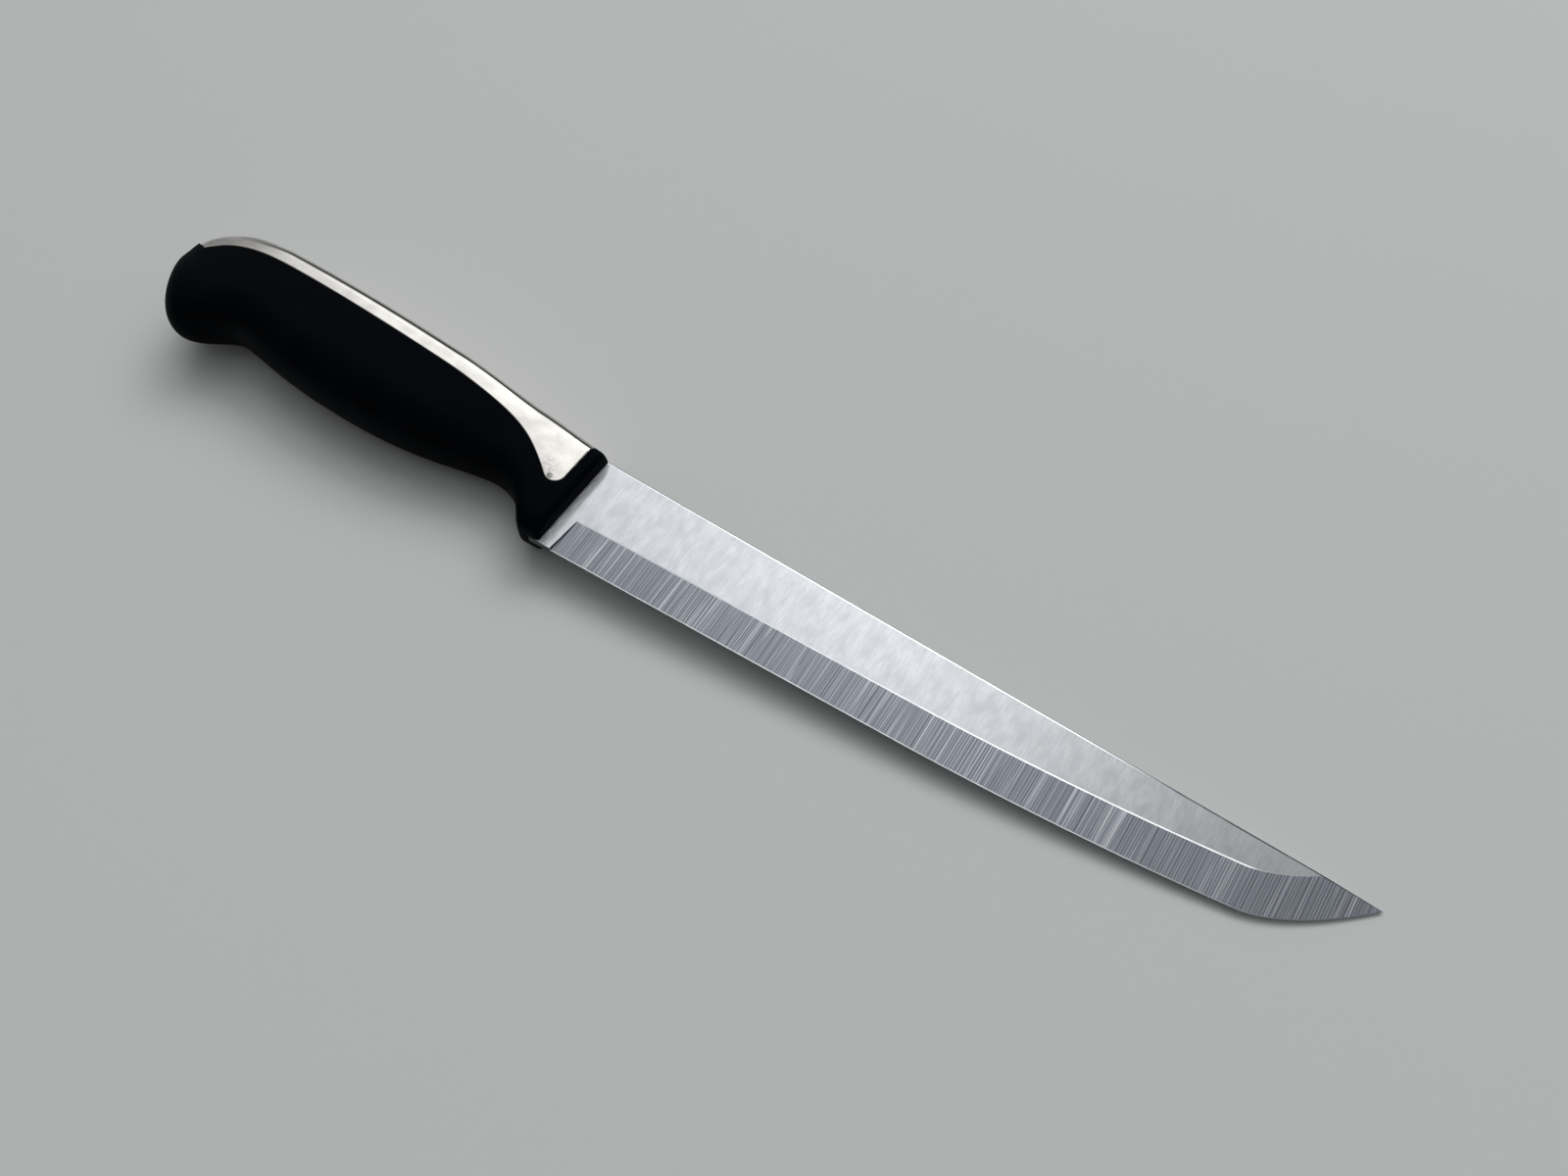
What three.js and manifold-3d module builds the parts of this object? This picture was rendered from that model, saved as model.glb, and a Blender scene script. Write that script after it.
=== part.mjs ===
// A carving knife lying flat, right side up: a straight-backed ground blade in a soft black handle with
// a steel strap along the back. Millimetres.
//
// While it is built, x runs from the collar's front face to the point, y from the cutting edge's straight
// stretch to the spine, and z out of the knife's right side, with z = 0 half way through the blade. The
// handle lies at negative x, and its sizes are given as distances behind the collar's front.
// The finished knife is then moved so that the middle of its box's floor is the origin, with +Z up.
import * as THREE from "three";
import { mergeVertices } from "three/addons/utils/BufferGeometryUtils.js";
import Module from "manifold-3d";

const wasm = await Module();
wasm.setup();

// Blade
const BLADE_LENGTH = 203; // collar to point
const BLADE_THICKNESS = 2;
const HEEL_HEIGHT = 28; // spine over the edge line, at the collar
const POINT_HEIGHT = 19.4; // point over the edge line
const BEVEL_WIDTH = 9.8; // ground band, square to the edge
const EDGE_THICKNESS = 0.2; // steel left at the cutting edge
const RICASSO_LENGTH = 3.6; // unground steel in front of the collar
const PLUNGE_LENGTH = 0.8; // run-out of the grind behind the bevel
const STRAIGHT_EDGE = 95; // from the collar to where the edge starts to rise
const SWEEP_LENGTH = 28; // the quicker rise up to the point
const SWEEP_RISE = 3.75; // edge over its straight line where the sweep starts
const POINT_ANGLE = 41; // degrees between the edge at the point and its straight line

// Tang, hidden in the handle
const HEEL_INSET = 2.5; // heel's depth in the collar's slot
const SHOULDER_HEIGHT = 2.5; // top of the heel, which butts against the collar instead
const TANG_HEIGHT = 9.5; // at the finger notch
const TANG_END_HEIGHT = 8;
const TANG_SETBACK = 36; // butt's end to tang's end
const TANG_COVER = 1.2; // core under the tang at the finger notch

// Handle's outline: places are distances behind the collar's front and heights over the edge line
const HANDLE_LENGTH = 132.7;
const COLLAR_RISE = 0.1; // collar's top over the spine
const BACK_SLOPE = 4.3; // degrees, of the back at the collar
const CREST_SETBACK = 20; // butt's end to the highest point of the back
const CREST_HEIGHT = 36.8;
const CHIN_LENGTH = 5.2;
const CHIN_HEIGHT = 0; // under side of the chin
const NOTCH_PLACE = 20; // deepest point of the finger notch
const NOTCH_HEIGHT = 9.2;
const BELLY_PLACE = 60;
const BELLY_HEIGHT = 5.1;
const DIP_SETBACK = 29.2; // butt's end to the dip in front of the butt
const DIP_HEIGHT = 9.7;
const BUTT_LOW_SETBACK = 14; // butt's end to its lowest point
const BUTT_LOW_HEIGHT = 3.3;
const BUTT_END_HEIGHT = 24; // rearmost point

// Shares of a stretch of outline that stay near level where it leaves one place and arrives at the next
const CHIN_TO_NOTCH = { leave: 0.26, arrive: 0.72 };
const NOTCH_TO_BELLY = { leave: 0.2, arrive: 0.47 };
const BELLY_TO_DIP = { leave: 0.6, arrive: 0.12 };
const DIP_TO_BUTT = { leave: 0.45, arrive: 0.3 };
const COLLAR_TO_CREST = { leave: 0.31, arrive: 0.26 };
const BUTT_UNDER_TURN = { leave: 0.5, arrive: 0.33 };
const BUTT_OVER_TURN = { leave: 0.4, arrive: 0.31 };
const SWELL = { leave: 0.35, arrive: 0.35 }; // of the thickness

// Handle's thickness and section
const COLLAR_THICKNESS = 12.4;
const NECK_THICKNESS = 14.6; // at the finger notch
const BELLY_THICKNESS = 20;
const DIP_THICKNESS = 18.6;
const FLANK_REACH = 12; // to each side of the belly's lowest point, where the thickness stays full
const FLANK_HEIGHT = 7; // flat part of the side, on which the knife lies
const BUTT_THICKNESS = 20;
const COLLAR_ROUNDNESS = 4; // power of the lower half's superellipse, up to the chin
const BELLY_ROUNDNESS = 2.2; // the same from the finger notch back
const BUTT_ROUNDNESS = 2.4; // power of the butt's end
const BACK_NARROWING = 1; // each side, from the middle up to the back
const BACK_CROWN = 0.4; // rise of the back between its corners
const CORNER_RADIUS = 2.2; // between side and back
const FRONT_ROUND = 0.5; // collar's front edge
// Most that each of these takes of a small section's half
const SMALL_SECTION = { flank: 0.25, corner: 0.5, narrowing: 0.25, crown: 0.125 };

// Back strap, a pressed sheet over the back with a lobe down each side behind the collar
const STRAP_SHEET = 1;
const COLLAR_LENGTH = 3.7; // collar's front to strap
const LOBE_RADIUS = 2.9;
const LOBE_LOW = 12.8; // lowest point of the lobe over the edge line
const LOBE_ANGLE = 54; // degrees to the edge line where the lobe's end turns into the flare
const FLARE_END = 34; // where the flare becomes the narrow band
const BAND_DEPTH = 4.9; // band down the side, at the end of the flare
const TAIL_SETBACK = 2; // butt's end to the strap's tail
const TAIL_HEIGHT = 25.9;
const TAIL_ANGLE = 20; // degrees to the edge line
const BAND_STRAIGHTNESS = 0.275; // share of the band that follows each of its ends

// Soft grip over the core, and the pins through core and tang
const GRIP_WALL = 2.5;
const STRAP_PIN_DIAMETER = 1.4;
const STRAP_PIN_PLACE = 5.7;
const STRAP_PIN_HEIGHT = 14.4;
const STRAP_PIN_MARGIN = 3.2; // tang under the pin's axis
const RIVET_DIAMETER = 4;
const RIVET_HEAD_DIAMETER = 7;
const RIVET_HEAD_HEIGHT = 1.2;
const RIVET_SINK = 0.4; // head under the core's surface
const FRONT_RIVET_PLACE = 40;
const REAR_RIVET_MARGIN = 14; // tang's end to the rear rivet

// Clearances
const FIT = 0.3; // between two solids that meet
const PIN_FIT = 0.15; // round a pin
const THROUGH = 60; // cutters reach this far past what they cut

// Steps of the curves
const BLADE_STEPS = { straight: 3, rise: 8, sweep: 12 };
const HANDLE_STEPS = { chin: 2, notch: 6, belly: 5, dip: 5, low: 4, butt: 7 };
const SECTION_STEPS = { lower: 6, side: 2, corner: 3 };
const FRONT_STEPS = 3;
const LINE_STEPS = 40;
const SLOPE_STEP = 0.2; // to each side of where a slope is taken
const PIN_SEGMENTS = 16;
const SHAPE_SEGMENTS = 9;
const MERGE_DISTANCE = 1e-4;

const HALF_BLADE = BLADE_THICKNESS / 2;
// The spine's fall for each millimetre. The collar, the plunge and the strap's front are square to the spine.
const LEAN = (HEEL_HEIGHT - POINT_HEIGHT) / BLADE_LENGTH;
const behind = (distance, height) => new THREE.Vector2(-distance, height);
const slopeOf = (degrees) => Math.tan(THREE.MathUtils.degToRad(degrees));

// Solids from geometry and back

function solid(geometry) {
  const bare = geometry.clone();
  bare.deleteAttribute("normal");
  bare.deleteAttribute("uv");
  const merged = mergeVertices(bare, MERGE_DISTANCE);
  const index = merged.index.array;
  const triangles = [];
  for (let i = 0; i < index.length; i += 3) {
    const [a, b, c] = index.subarray(i, i + 3);
    if (a !== b && b !== c && c !== a) triangles.push(a, b, c);
  }
  const vertProperties = merged.attributes.position.array;
  const triVerts = new Uint32Array(triangles);
  return new wasm.Manifold(new wasm.Mesh({ numProp: 3, vertProperties, triVerts }));
}

function geometryOf(body) {
  const mesh = body.getMesh();
  const geometry = new THREE.BufferGeometry();
  geometry.setAttribute("position", new THREE.BufferAttribute(mesh.vertProperties, 3));
  geometry.setIndex(new THREE.BufferAttribute(mesh.triVerts, 1));
  geometry.computeVertexNormals();
  return geometry;
}

// Closed skin over rings of equally many points, each ring closed and both ends capped. The rings go
// backwards along the knife, and each runs from below up the right side and down the left.
function skin(rings) {
  const count = rings[0].length;
  const positions = rings.flat().flatMap((p) => [p.x, p.y, p.z]);
  const index = [];
  for (let i = 0; i + 1 < rings.length; i++) {
    for (let j = 0; j < count; j++) {
      const a = i * count + j;
      const b = i * count + ((j + 1) % count);
      index.push(a, b, a + count, b, b + count, a + count);
    }
  }
  const last = (rings.length - 1) * count;
  for (let j = 1; j + 1 < count; j++) {
    index.push(0, j + 1, j);
    index.push(last, last + j, last + j + 1);
  }
  const geometry = new THREE.BufferGeometry();
  geometry.setAttribute("position", new THREE.Float32BufferAttribute(positions, 3));
  geometry.setIndex(index);
  return solid(geometry);
}

// A side-view shape as a slab that reaches equally far to both sides of the blade's middle.
function slab(shape, thickness) {
  const geometry = new THREE.ExtrudeGeometry(shape, {
    depth: thickness,
    bevelEnabled: false,
    curveSegments: SHAPE_SEGMENTS,
  });
  return solid(geometry.translate(0, 0, -thickness / 2));
}

function crossRod(place, diameter, length, middle = 0) {
  const rod = new THREE.CylinderGeometry(diameter / 2, diameter / 2, length, PIN_SEGMENTS);
  return solid(rod.rotateX(Math.PI / 2).translate(place.x, place.y, middle));
}

function block(low, high) {
  const size = high.clone().sub(low);
  const middle = low.clone().add(high).multiplyScalar(0.5);
  const box = new THREE.BoxGeometry(size.x, size.y, size.z);
  return solid(box.translate(middle.x, middle.y, middle.z));
}

// Where two lines of given slopes through two points cross.
function meeting(p, slopeP, q, slopeQ) {
  const x = (q.y - p.y + slopeP * p.x - slopeQ * q.x) / (slopeP - slopeQ);
  return new THREE.Vector2(x, p.y + slopeP * (x - p.x));
}

// Handle's lines, from the collar back

// A stretch that is level at both ends.
function ease(from, to, { leave, arrive }) {
  const run = to.x - from.x;
  const first = new THREE.Vector2(from.x + leave * run, from.y);
  const second = new THREE.Vector2(to.x - arrive * run, to.y);
  return new THREE.CubicBezierCurve(from, first, second, to);
}

// A quarter turn from a level start to an upright end.
function quarter(from, to, { leave, arrive }) {
  const first = new THREE.Vector2(from.x + leave * (to.x - from.x), from.y);
  const second = new THREE.Vector2(to.x, to.y - arrive * (to.y - from.y));
  return new THREE.CubicBezierCurve(from, first, second, to);
}

function linePoints(curves) {
  return curves.flatMap((curve, i) => curve.getPoints(LINE_STEPS).slice(i ? 1 : 0));
}

function heightAt(points, x) {
  const found = points.findIndex((p) => p.x <= x);
  const i = found < 0 ? points.length - 1 : Math.max(found, 1);
  const [a, b] = [points[i - 1], points[i]];
  return a.y + ((b.y - a.y) * (x - a.x)) / (b.x - a.x);
}

function slopeAt(points, x) {
  const ahead = Math.min(x + SLOPE_STEP, points[0].x);
  const astern = Math.max(x - SLOPE_STEP, points.at(-1).x);
  return (heightAt(points, ahead) - heightAt(points, astern)) / (ahead - astern);
}

const chinRear = behind(CHIN_LENGTH, CHIN_HEIGHT);
const notch = behind(NOTCH_PLACE, NOTCH_HEIGHT);
const belly = behind(BELLY_PLACE, BELLY_HEIGHT);
const dip = behind(HANDLE_LENGTH - DIP_SETBACK, DIP_HEIGHT);
const buttLow = behind(HANDLE_LENGTH - BUTT_LOW_SETBACK, BUTT_LOW_HEIGHT);
const buttEnd = behind(HANDLE_LENGTH, BUTT_END_HEIGHT);
const crest = behind(HANDLE_LENGTH - CREST_SETBACK, CREST_HEIGHT);
const collarHeight = HEEL_HEIGHT + COLLAR_RISE;
const collarTop = new THREE.Vector2(LEAN * collarHeight, collarHeight);

const underside = linePoints([
  new THREE.LineCurve(behind(0, CHIN_HEIGHT), chinRear),
  ease(chinRear, notch, CHIN_TO_NOTCH),
  ease(notch, belly, NOTCH_TO_BELLY),
  ease(belly, dip, BELLY_TO_DIP),
  ease(dip, buttLow, DIP_TO_BUTT),
]);
const backRun = crest.x - collarTop.x;
const backLeave = COLLAR_TO_CREST.leave * backRun;
const back = linePoints([
  new THREE.CubicBezierCurve(
    collarTop,
    new THREE.Vector2(collarTop.x + backLeave, collarTop.y - backLeave * slopeOf(BACK_SLOPE)),
    new THREE.Vector2(crest.x - COLLAR_TO_CREST.arrive * backRun, crest.y),
    crest,
  ),
]);
const buttUnder = quarter(buttLow, buttEnd, BUTT_UNDER_TURN);
const buttOver = quarter(crest, buttEnd, BUTT_OVER_TURN);
const collarSide = behind(0, COLLAR_THICKNESS / 2);
const neckSide = new THREE.Vector2(notch.x, NECK_THICKNESS / 2);
const bellyFront = new THREE.Vector2(belly.x + FLANK_REACH, BELLY_THICKNESS / 2);
const bellyRear = new THREE.Vector2(belly.x - FLANK_REACH, BELLY_THICKNESS / 2);
const dipSide = new THREE.Vector2(dip.x, DIP_THICKNESS / 2);
const buttSide = new THREE.Vector2(buttLow.x, BUTT_THICKNESS / 2);
const halfWidths = linePoints([
  ease(collarSide, neckSide, SWELL),
  ease(neckSide, bellyFront, SWELL),
  new THREE.LineCurve(bellyFront, bellyRear),
  ease(bellyRear, dipSide, SWELL),
  ease(dipSide, buttSide, SWELL),
]);

// Half of a section from its under side to the back, as heights along the rib and distances from the middle.
function halfSection(half, width, corner, roundness) {
  const points = [];
  const power = 2 / roundness;
  const flank = Math.min(FLANK_HEIGHT / 2, SMALL_SECTION.flank * half);
  for (let k = 0; k <= SECTION_STEPS.lower; k++) {
    const turn = (Math.PI / 2) * (k / SECTION_STEPS.lower);
    points.push([-flank - (half - flank) * Math.cos(turn) ** power, width * Math.sin(turn) ** power]);
  }
  const radius = Math.min(corner, SMALL_SECTION.corner * half, SMALL_SECTION.corner * width);
  const narrowing = Math.min(BACK_NARROWING, SMALL_SECTION.narrowing * width);
  const crown = Math.min(BACK_CROWN, SMALL_SECTION.crown * half);
  const cornerHeight = half - crown - radius;
  for (let k = 0; k < SECTION_STEPS.side; k++) {
    const share = k / SECTION_STEPS.side;
    points.push([flank + (cornerHeight - flank) * share, width - narrowing * share ** 2]);
  }
  for (let k = 0; k <= SECTION_STEPS.corner; k++) {
    const turn = (Math.PI / 2) * (k / SECTION_STEPS.corner);
    const side = width - narrowing - radius + radius * Math.cos(turn);
    points.push([cornerHeight + radius * Math.sin(turn), side]);
  }
  points.push([half, 0]);
  return points;
}

// A ring of the handle round the rib from a point of the under side to a point of the back.
function sectionRing(low, high, width, inset, roundness) {
  const middle = low.clone().add(high).multiplyScalar(0.5);
  const rib = high.clone().sub(low).multiplyScalar(0.5);
  const half = rib.length();
  const along = half > 0 ? rib.divideScalar(half) : rib;
  const right = halfSection(half, width, Math.max(CORNER_RADIUS - inset, FIT), roundness);
  const left = right.slice(1, -1).reverse();
  const place = ([height, side]) =>
    new THREE.Vector3(middle.x + along.x * height, middle.y + along.y * height, side);
  return [...right.map(place), ...left.map(([height, side]) => place([height, -side]))];
}

// A ring at a place in front of the butt. Its rib turns from square to the spine, at the collar, to the line
// from the butt's lowest point to the crest.
function bodyRing(x, inset) {
  const backX = collarTop.x + (x / buttLow.x) * backRun;
  const lift = inset * Math.hypot(1, slopeAt(underside, x));
  const drop = inset * Math.hypot(1, slopeAt(back, backX));
  const low = new THREE.Vector2(x, heightAt(underside, x) + lift);
  const high = new THREE.Vector2(backX, heightAt(back, backX) - drop);
  const pastChin = THREE.MathUtils.smoothstep(-x, CHIN_LENGTH, NOTCH_PLACE);
  const roundness = THREE.MathUtils.lerp(COLLAR_ROUNDNESS, BELLY_ROUNDNESS, pastChin);
  return sectionRing(low, high, heightAt(halfWidths, x) - inset, inset, roundness);
}

// A ring in the rounded butt, at a share of the way from its lowest point to its end.
function buttRing(share, inset) {
  const low = buttUnder.getPoint(share);
  const high = buttOver.getPoint(share);
  const start = (buttLow.x + crest.x) / 2;
  const progress = ((low.x + high.x) / 2 - start) / (buttEnd.x - start);
  const taper = Math.max(0, 1 - progress ** BUTT_ROUNDNESS) ** (1 / BUTT_ROUNDNESS);
  const inwards = (curve, side) => {
    const t = curve.getTangent(share);
    return new THREE.Vector2(t.y, -t.x).multiplyScalar(side * inset);
  };
  low.add(inwards(buttUnder, 1));
  high.add(inwards(buttOver, -1));
  return sectionRing(low, high, Math.max(0, (BUTT_THICKNESS / 2 - inset) * taper), inset, BELLY_ROUNDNESS);
}

// The whole handle as one solid, made smaller all round by inset.
function handleForm(inset) {
  const rings = [];
  for (let k = 0; k < FRONT_STEPS; k++) {
    const turn = (Math.PI / 2) * (k / FRONT_STEPS);
    const place = -FRONT_ROUND * (1 - Math.cos(turn));
    rings.push(bodyRing(place, inset + FRONT_ROUND * (1 - Math.sin(turn))));
  }
  const stops = [
    [-FRONT_ROUND, chinRear.x, HANDLE_STEPS.chin],
    [chinRear.x, notch.x, HANDLE_STEPS.notch],
    [notch.x, belly.x, HANDLE_STEPS.belly],
    [belly.x, dip.x, HANDLE_STEPS.dip],
    [dip.x, buttLow.x, HANDLE_STEPS.low],
  ];
  for (const [from, to, steps] of stops) {
    for (let k = 0; k < steps; k++) rings.push(bodyRing(from + ((to - from) * k) / steps, inset));
  }
  for (let k = 0; k <= HANDLE_STEPS.butt; k++) rings.push(buttRing(k / HANDLE_STEPS.butt, inset));
  return skin(rings);
}

// Everything further back than a line square to the spine.
function spaceBehind(distance) {
  const over = CREST_HEIGHT + THROUGH;
  const shape = new THREE.Shape();
  shape.moveTo(-distance - LEAN * THROUGH, -THROUGH);
  shape.lineTo(-distance + LEAN * over, over);
  shape.lineTo(-HANDLE_LENGTH - THROUGH, over);
  shape.lineTo(-HANDLE_LENGTH - THROUGH, -THROUGH);
  shape.closePath();
  return slab(shape, THROUGH);
}

// Strap's side view: down the collar, round the lobe, up the flare, along the band to the tail, open above.
function strapShape(grow) {
  const lean = Math.atan(LEAN);
  const slant = Math.hypot(1, LEAN);
  const front = -COLLAR_LENGTH + grow * slant;
  const radius = LOBE_RADIUS + grow;
  const lobeHeight = LOBE_LOW + LOBE_RADIUS;
  const centre = new THREE.Vector2(front + LEAN * lobeHeight - radius * slant, lobeHeight);
  const lobeStart = new THREE.Vector2(radius * Math.cos(lean), -radius * Math.sin(lean)).add(centre);
  const turned = THREE.MathUtils.degToRad(-90 - LOBE_ANGLE);
  const lobeEnd = new THREE.Vector2(radius * Math.cos(turned), radius * Math.sin(turned)).add(centre);
  const bandSlope = slopeAt(back, -FLARE_END);
  const bandStart = behind(FLARE_END, heightAt(back, -FLARE_END) - BAND_DEPTH - grow);
  const flare = meeting(lobeEnd, -slopeOf(LOBE_ANGLE), bandStart, bandSlope);
  const tail = behind(HANDLE_LENGTH - TAIL_SETBACK, TAIL_HEIGHT - grow);
  const reach = BAND_STRAIGHTNESS * (bandStart.x - tail.x);
  const over = CREST_HEIGHT + THROUGH;
  const shape = new THREE.Shape();
  shape.moveTo(front + LEAN * over, over);
  shape.lineTo(lobeStart.x, lobeStart.y);
  shape.absarc(centre.x, centre.y, radius, -lean, turned, true);
  shape.quadraticCurveTo(flare.x, flare.y, bandStart.x, bandStart.y);
  shape.bezierCurveTo(
    bandStart.x - reach,
    bandStart.y - reach * bandSlope,
    tail.x + reach,
    tail.y + reach * slopeOf(TAIL_ANGLE),
    tail.x,
    tail.y,
  );
  shape.lineTo(tail.x - THROUGH, tail.y - THROUGH * slopeOf(TAIL_ANGLE));
  shape.lineTo(tail.x - THROUGH, over);
  return shape;
}

// Places of the tang and of the pins through it

const strapPinPlace = behind(STRAP_PIN_PLACE, STRAP_PIN_HEIGHT);
const tangNeckLow = behind(NOTCH_PLACE, NOTCH_HEIGHT + GRIP_WALL + FIT + TANG_COVER);
const tangNeckMiddle = behind(NOTCH_PLACE, tangNeckLow.y + TANG_HEIGHT / 2);
const tangEndX = -(HANDLE_LENGTH - TANG_SETBACK);
const tangEndMiddle = new THREE.Vector2(
  tangEndX,
  (heightAt(underside, tangEndX) + heightAt(back, tangEndX)) / 2,
);

function rivetPlace(x) {
  const share = (x - tangNeckMiddle.x) / (tangEndMiddle.x - tangNeckMiddle.x);
  return tangNeckMiddle.clone().lerp(tangEndMiddle, share);
}

const rivets = {
  tang_rivet_front: rivetPlace(-FRONT_RIVET_PLACE),
  tang_rivet_rear: rivetPlace(tangEndX + REAR_RIVET_MARGIN),
};

// Heel and tang in side view, with the heel's front reaching into the blade.
function tangShape(grow, front) {
  const shape = new THREE.Shape();
  const heelBack = -HEEL_INSET - grow;
  const heelTop = HEEL_HEIGHT - SHOULDER_HEIGHT + grow;
  shape.moveTo(front, -grow);
  shape.lineTo(heelBack, -grow);
  shape.lineTo(heelBack, strapPinPlace.y - STRAP_PIN_MARGIN - grow);
  shape.lineTo(strapPinPlace.x, strapPinPlace.y - STRAP_PIN_MARGIN - grow);
  shape.lineTo(tangNeckLow.x, tangNeckLow.y - grow);
  shape.lineTo(tangEndX - grow, tangEndMiddle.y - TANG_END_HEIGHT / 2 - grow);
  shape.lineTo(tangEndX - grow, tangEndMiddle.y + TANG_END_HEIGHT / 2 + grow);
  shape.lineTo(tangNeckLow.x, tangNeckLow.y + TANG_HEIGHT + grow);
  shape.lineTo(heelBack, tangNeckLow.y + TANG_HEIGHT + grow);
  shape.lineTo(heelBack, heelTop);
  shape.lineTo(front, heelTop);
  shape.closePath();
  return shape;
}

// Blade: ribs run square to the edge up to the spine, thick over the bevel and ground thin below it
function makeBlade() {
  const point = new THREE.Vector2(BLADE_LENGTH, POINT_HEIGHT);
  const bevelStart = RICASSO_LENGTH + PLUNGE_LENGTH;
  const riseStart = new THREE.Vector2(STRAIGHT_EDGE, 0);
  const sweepStart = new THREE.Vector2(BLADE_LENGTH - SWEEP_LENGTH, SWEEP_RISE);
  const riseMiddle = new THREE.Vector2((riseStart.x + sweepStart.x) / 2, 0);
  const sweepSlope = SWEEP_RISE / (sweepStart.x - riseMiddle.x);
  const sweepMiddle = meeting(sweepStart, sweepSlope, point, slopeOf(POINT_ANGLE));
  const straight = new THREE.LineCurve(new THREE.Vector2(bevelStart, 0), riseStart);
  const rise = new THREE.QuadraticBezierCurve(riseStart, riseMiddle, sweepStart);
  const sweep = new THREE.QuadraticBezierCurve(sweepStart, sweepMiddle, point);

  const spineDistance = (edge, inward) =>
    (HEEL_HEIGHT - LEAN * edge.x - edge.y) / (inward.y + LEAN * inward.x);
  const inwardAt = (curve, t) => {
    const tangent = curve.getTangent(t);
    return new THREE.Vector2(-tangent.y, tangent.x);
  };
  const halfAt = (distance) =>
    EDGE_THICKNESS / 2 + (HALF_BLADE - EDGE_THICKNESS / 2) * Math.min(1, distance / BEVEL_WIDTH);
  const ring = (edge, inward, halfOf) => {
    const spine = Math.max(0, spineDistance(edge, inward));
    const right = [0, Math.min(spine, BEVEL_WIDTH), spine].map((distance) => {
      const p = inward.clone().multiplyScalar(distance).add(edge);
      return new THREE.Vector3(p.x, p.y, halfOf(distance));
    });
    const left = right.map((p) => new THREE.Vector3(p.x, p.y, -p.z)).reverse();
    return [...right, ...left];
  };
  const groundRing = (curve, t) => ring(curve.getPoint(t), inwardAt(curve, t), halfAt);
  const upright = new THREE.Vector2(LEAN, 1).normalize();
  const plainRing = (x) => ring(new THREE.Vector2(x, 0), upright, () => HALF_BLADE);

  // Share of the sweep at which the bevel's top line runs out into the spine
  let [low, high] = [0, 1];
  for (let k = 0; k < LINE_STEPS; k++) {
    const t = (low + high) / 2;
    if (spineDistance(sweep.getPoint(t), inwardAt(sweep, t)) > BEVEL_WIDTH) low = t;
    else high = t;
  }
  const shares = Array.from({ length: BLADE_STEPS.sweep }, (_, k) => (k + 1) / BLADE_STEPS.sweep);
  const sweepShares = [...shares, high].sort((a, b) => a - b);

  const rings = [plainRing(FIT), plainRing(RICASSO_LENGTH), ring(straight.getPoint(0), upright, halfAt)];
  for (let k = 1; k < BLADE_STEPS.straight; k++) rings.push(groundRing(straight, k / BLADE_STEPS.straight));
  for (let k = 0; k <= BLADE_STEPS.rise; k++) rings.push(groundRing(rise, k / BLADE_STEPS.rise));
  for (const t of sweepShares) rings.push(groundRing(sweep, t));

  const tang = slab(tangShape(0, RICASSO_LENGTH / 2), BLADE_THICKNESS);
  let blade = skin(rings.reverse()).add(tang);
  blade = blade.subtract(crossRod(strapPinPlace, STRAP_PIN_DIAMETER + 2 * PIN_FIT, THROUGH));
  for (const place of Object.values(rivets)) {
    blade = blade.subtract(crossRod(place, RIVET_DIAMETER + 2 * PIN_FIT, THROUGH));
  }
  return blade;
}

const outerForm = handleForm(0);
const strapSpace = slab(strapShape(0), THROUGH);
const tangSpace = slab(tangShape(FIT, THROUGH), BLADE_THICKNESS + 2 * FIT);

function makeStrap() {
  const sheet = outerForm.subtract(handleForm(STRAP_SHEET)).intersect(strapSpace);
  return sheet.subtract(crossRod(strapPinPlace, STRAP_PIN_DIAMETER + 2 * PIN_FIT, THROUGH));
}

function makeGrip() {
  const coreSpace = handleForm(GRIP_WALL).intersect(spaceBehind(COLLAR_LENGTH));
  return outerForm.subtract(coreSpace).subtract(slab(strapShape(FIT), THROUGH)).subtract(tangSpace);
}

// Rivet head's outer face, measured from the blade's middle.
function rivetReach(place) {
  return heightAt(halfWidths, place.x) - GRIP_WALL - FIT - RIVET_SINK;
}

// Both core scales: the inside of the grip, rebated under the strap, hollowed for the tang and its pins.
function makeCore() {
  const inside = handleForm(GRIP_WALL + FIT);
  const underStrap = handleForm(STRAP_SHEET + FIT).intersect(strapSpace);
  let core = inside.add(underStrap).intersect(spaceBehind(COLLAR_LENGTH + FIT)).subtract(tangSpace);
  core = core.subtract(crossRod(strapPinPlace, STRAP_PIN_DIAMETER + 2 * PIN_FIT, THROUGH));
  for (const place of Object.values(rivets)) {
    core = core.subtract(crossRod(place, RIVET_DIAMETER + 2 * PIN_FIT, THROUGH));
    const seat = rivetReach(place) - RIVET_HEAD_HEIGHT - PIN_FIT;
    for (const side of [1, -1]) {
      const recess = crossRod(place, RIVET_HEAD_DIAMETER + 2 * PIN_FIT, THROUGH, side * (seat + THROUGH / 2));
      core = core.subtract(recess);
    }
  }
  return core;
}

// The half of the core on one side of the blade: side is 1 for the right, -1 for the left.
function halfOfCore(core, side) {
  const near = side > 0 ? FIT / 2 : -THROUGH;
  const far = side > 0 ? THROUGH : -FIT / 2;
  const low = new THREE.Vector3(-HANDLE_LENGTH - THROUGH, -THROUGH, near);
  return core.intersect(block(low, new THREE.Vector3(THROUGH, CREST_HEIGHT + THROUGH, far)));
}

function makeRivet(place) {
  const reach = rivetReach(place);
  const shank = crossRod(place, RIVET_DIAMETER, 2 * reach - RIVET_HEAD_HEIGHT);
  const heads = [1, -1].map((side) =>
    crossRod(place, RIVET_HEAD_DIAMETER, RIVET_HEAD_HEIGHT, side * (reach - RIVET_HEAD_HEIGHT / 2)),
  );
  return shank.add(heads[0]).add(heads[1]);
}

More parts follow.
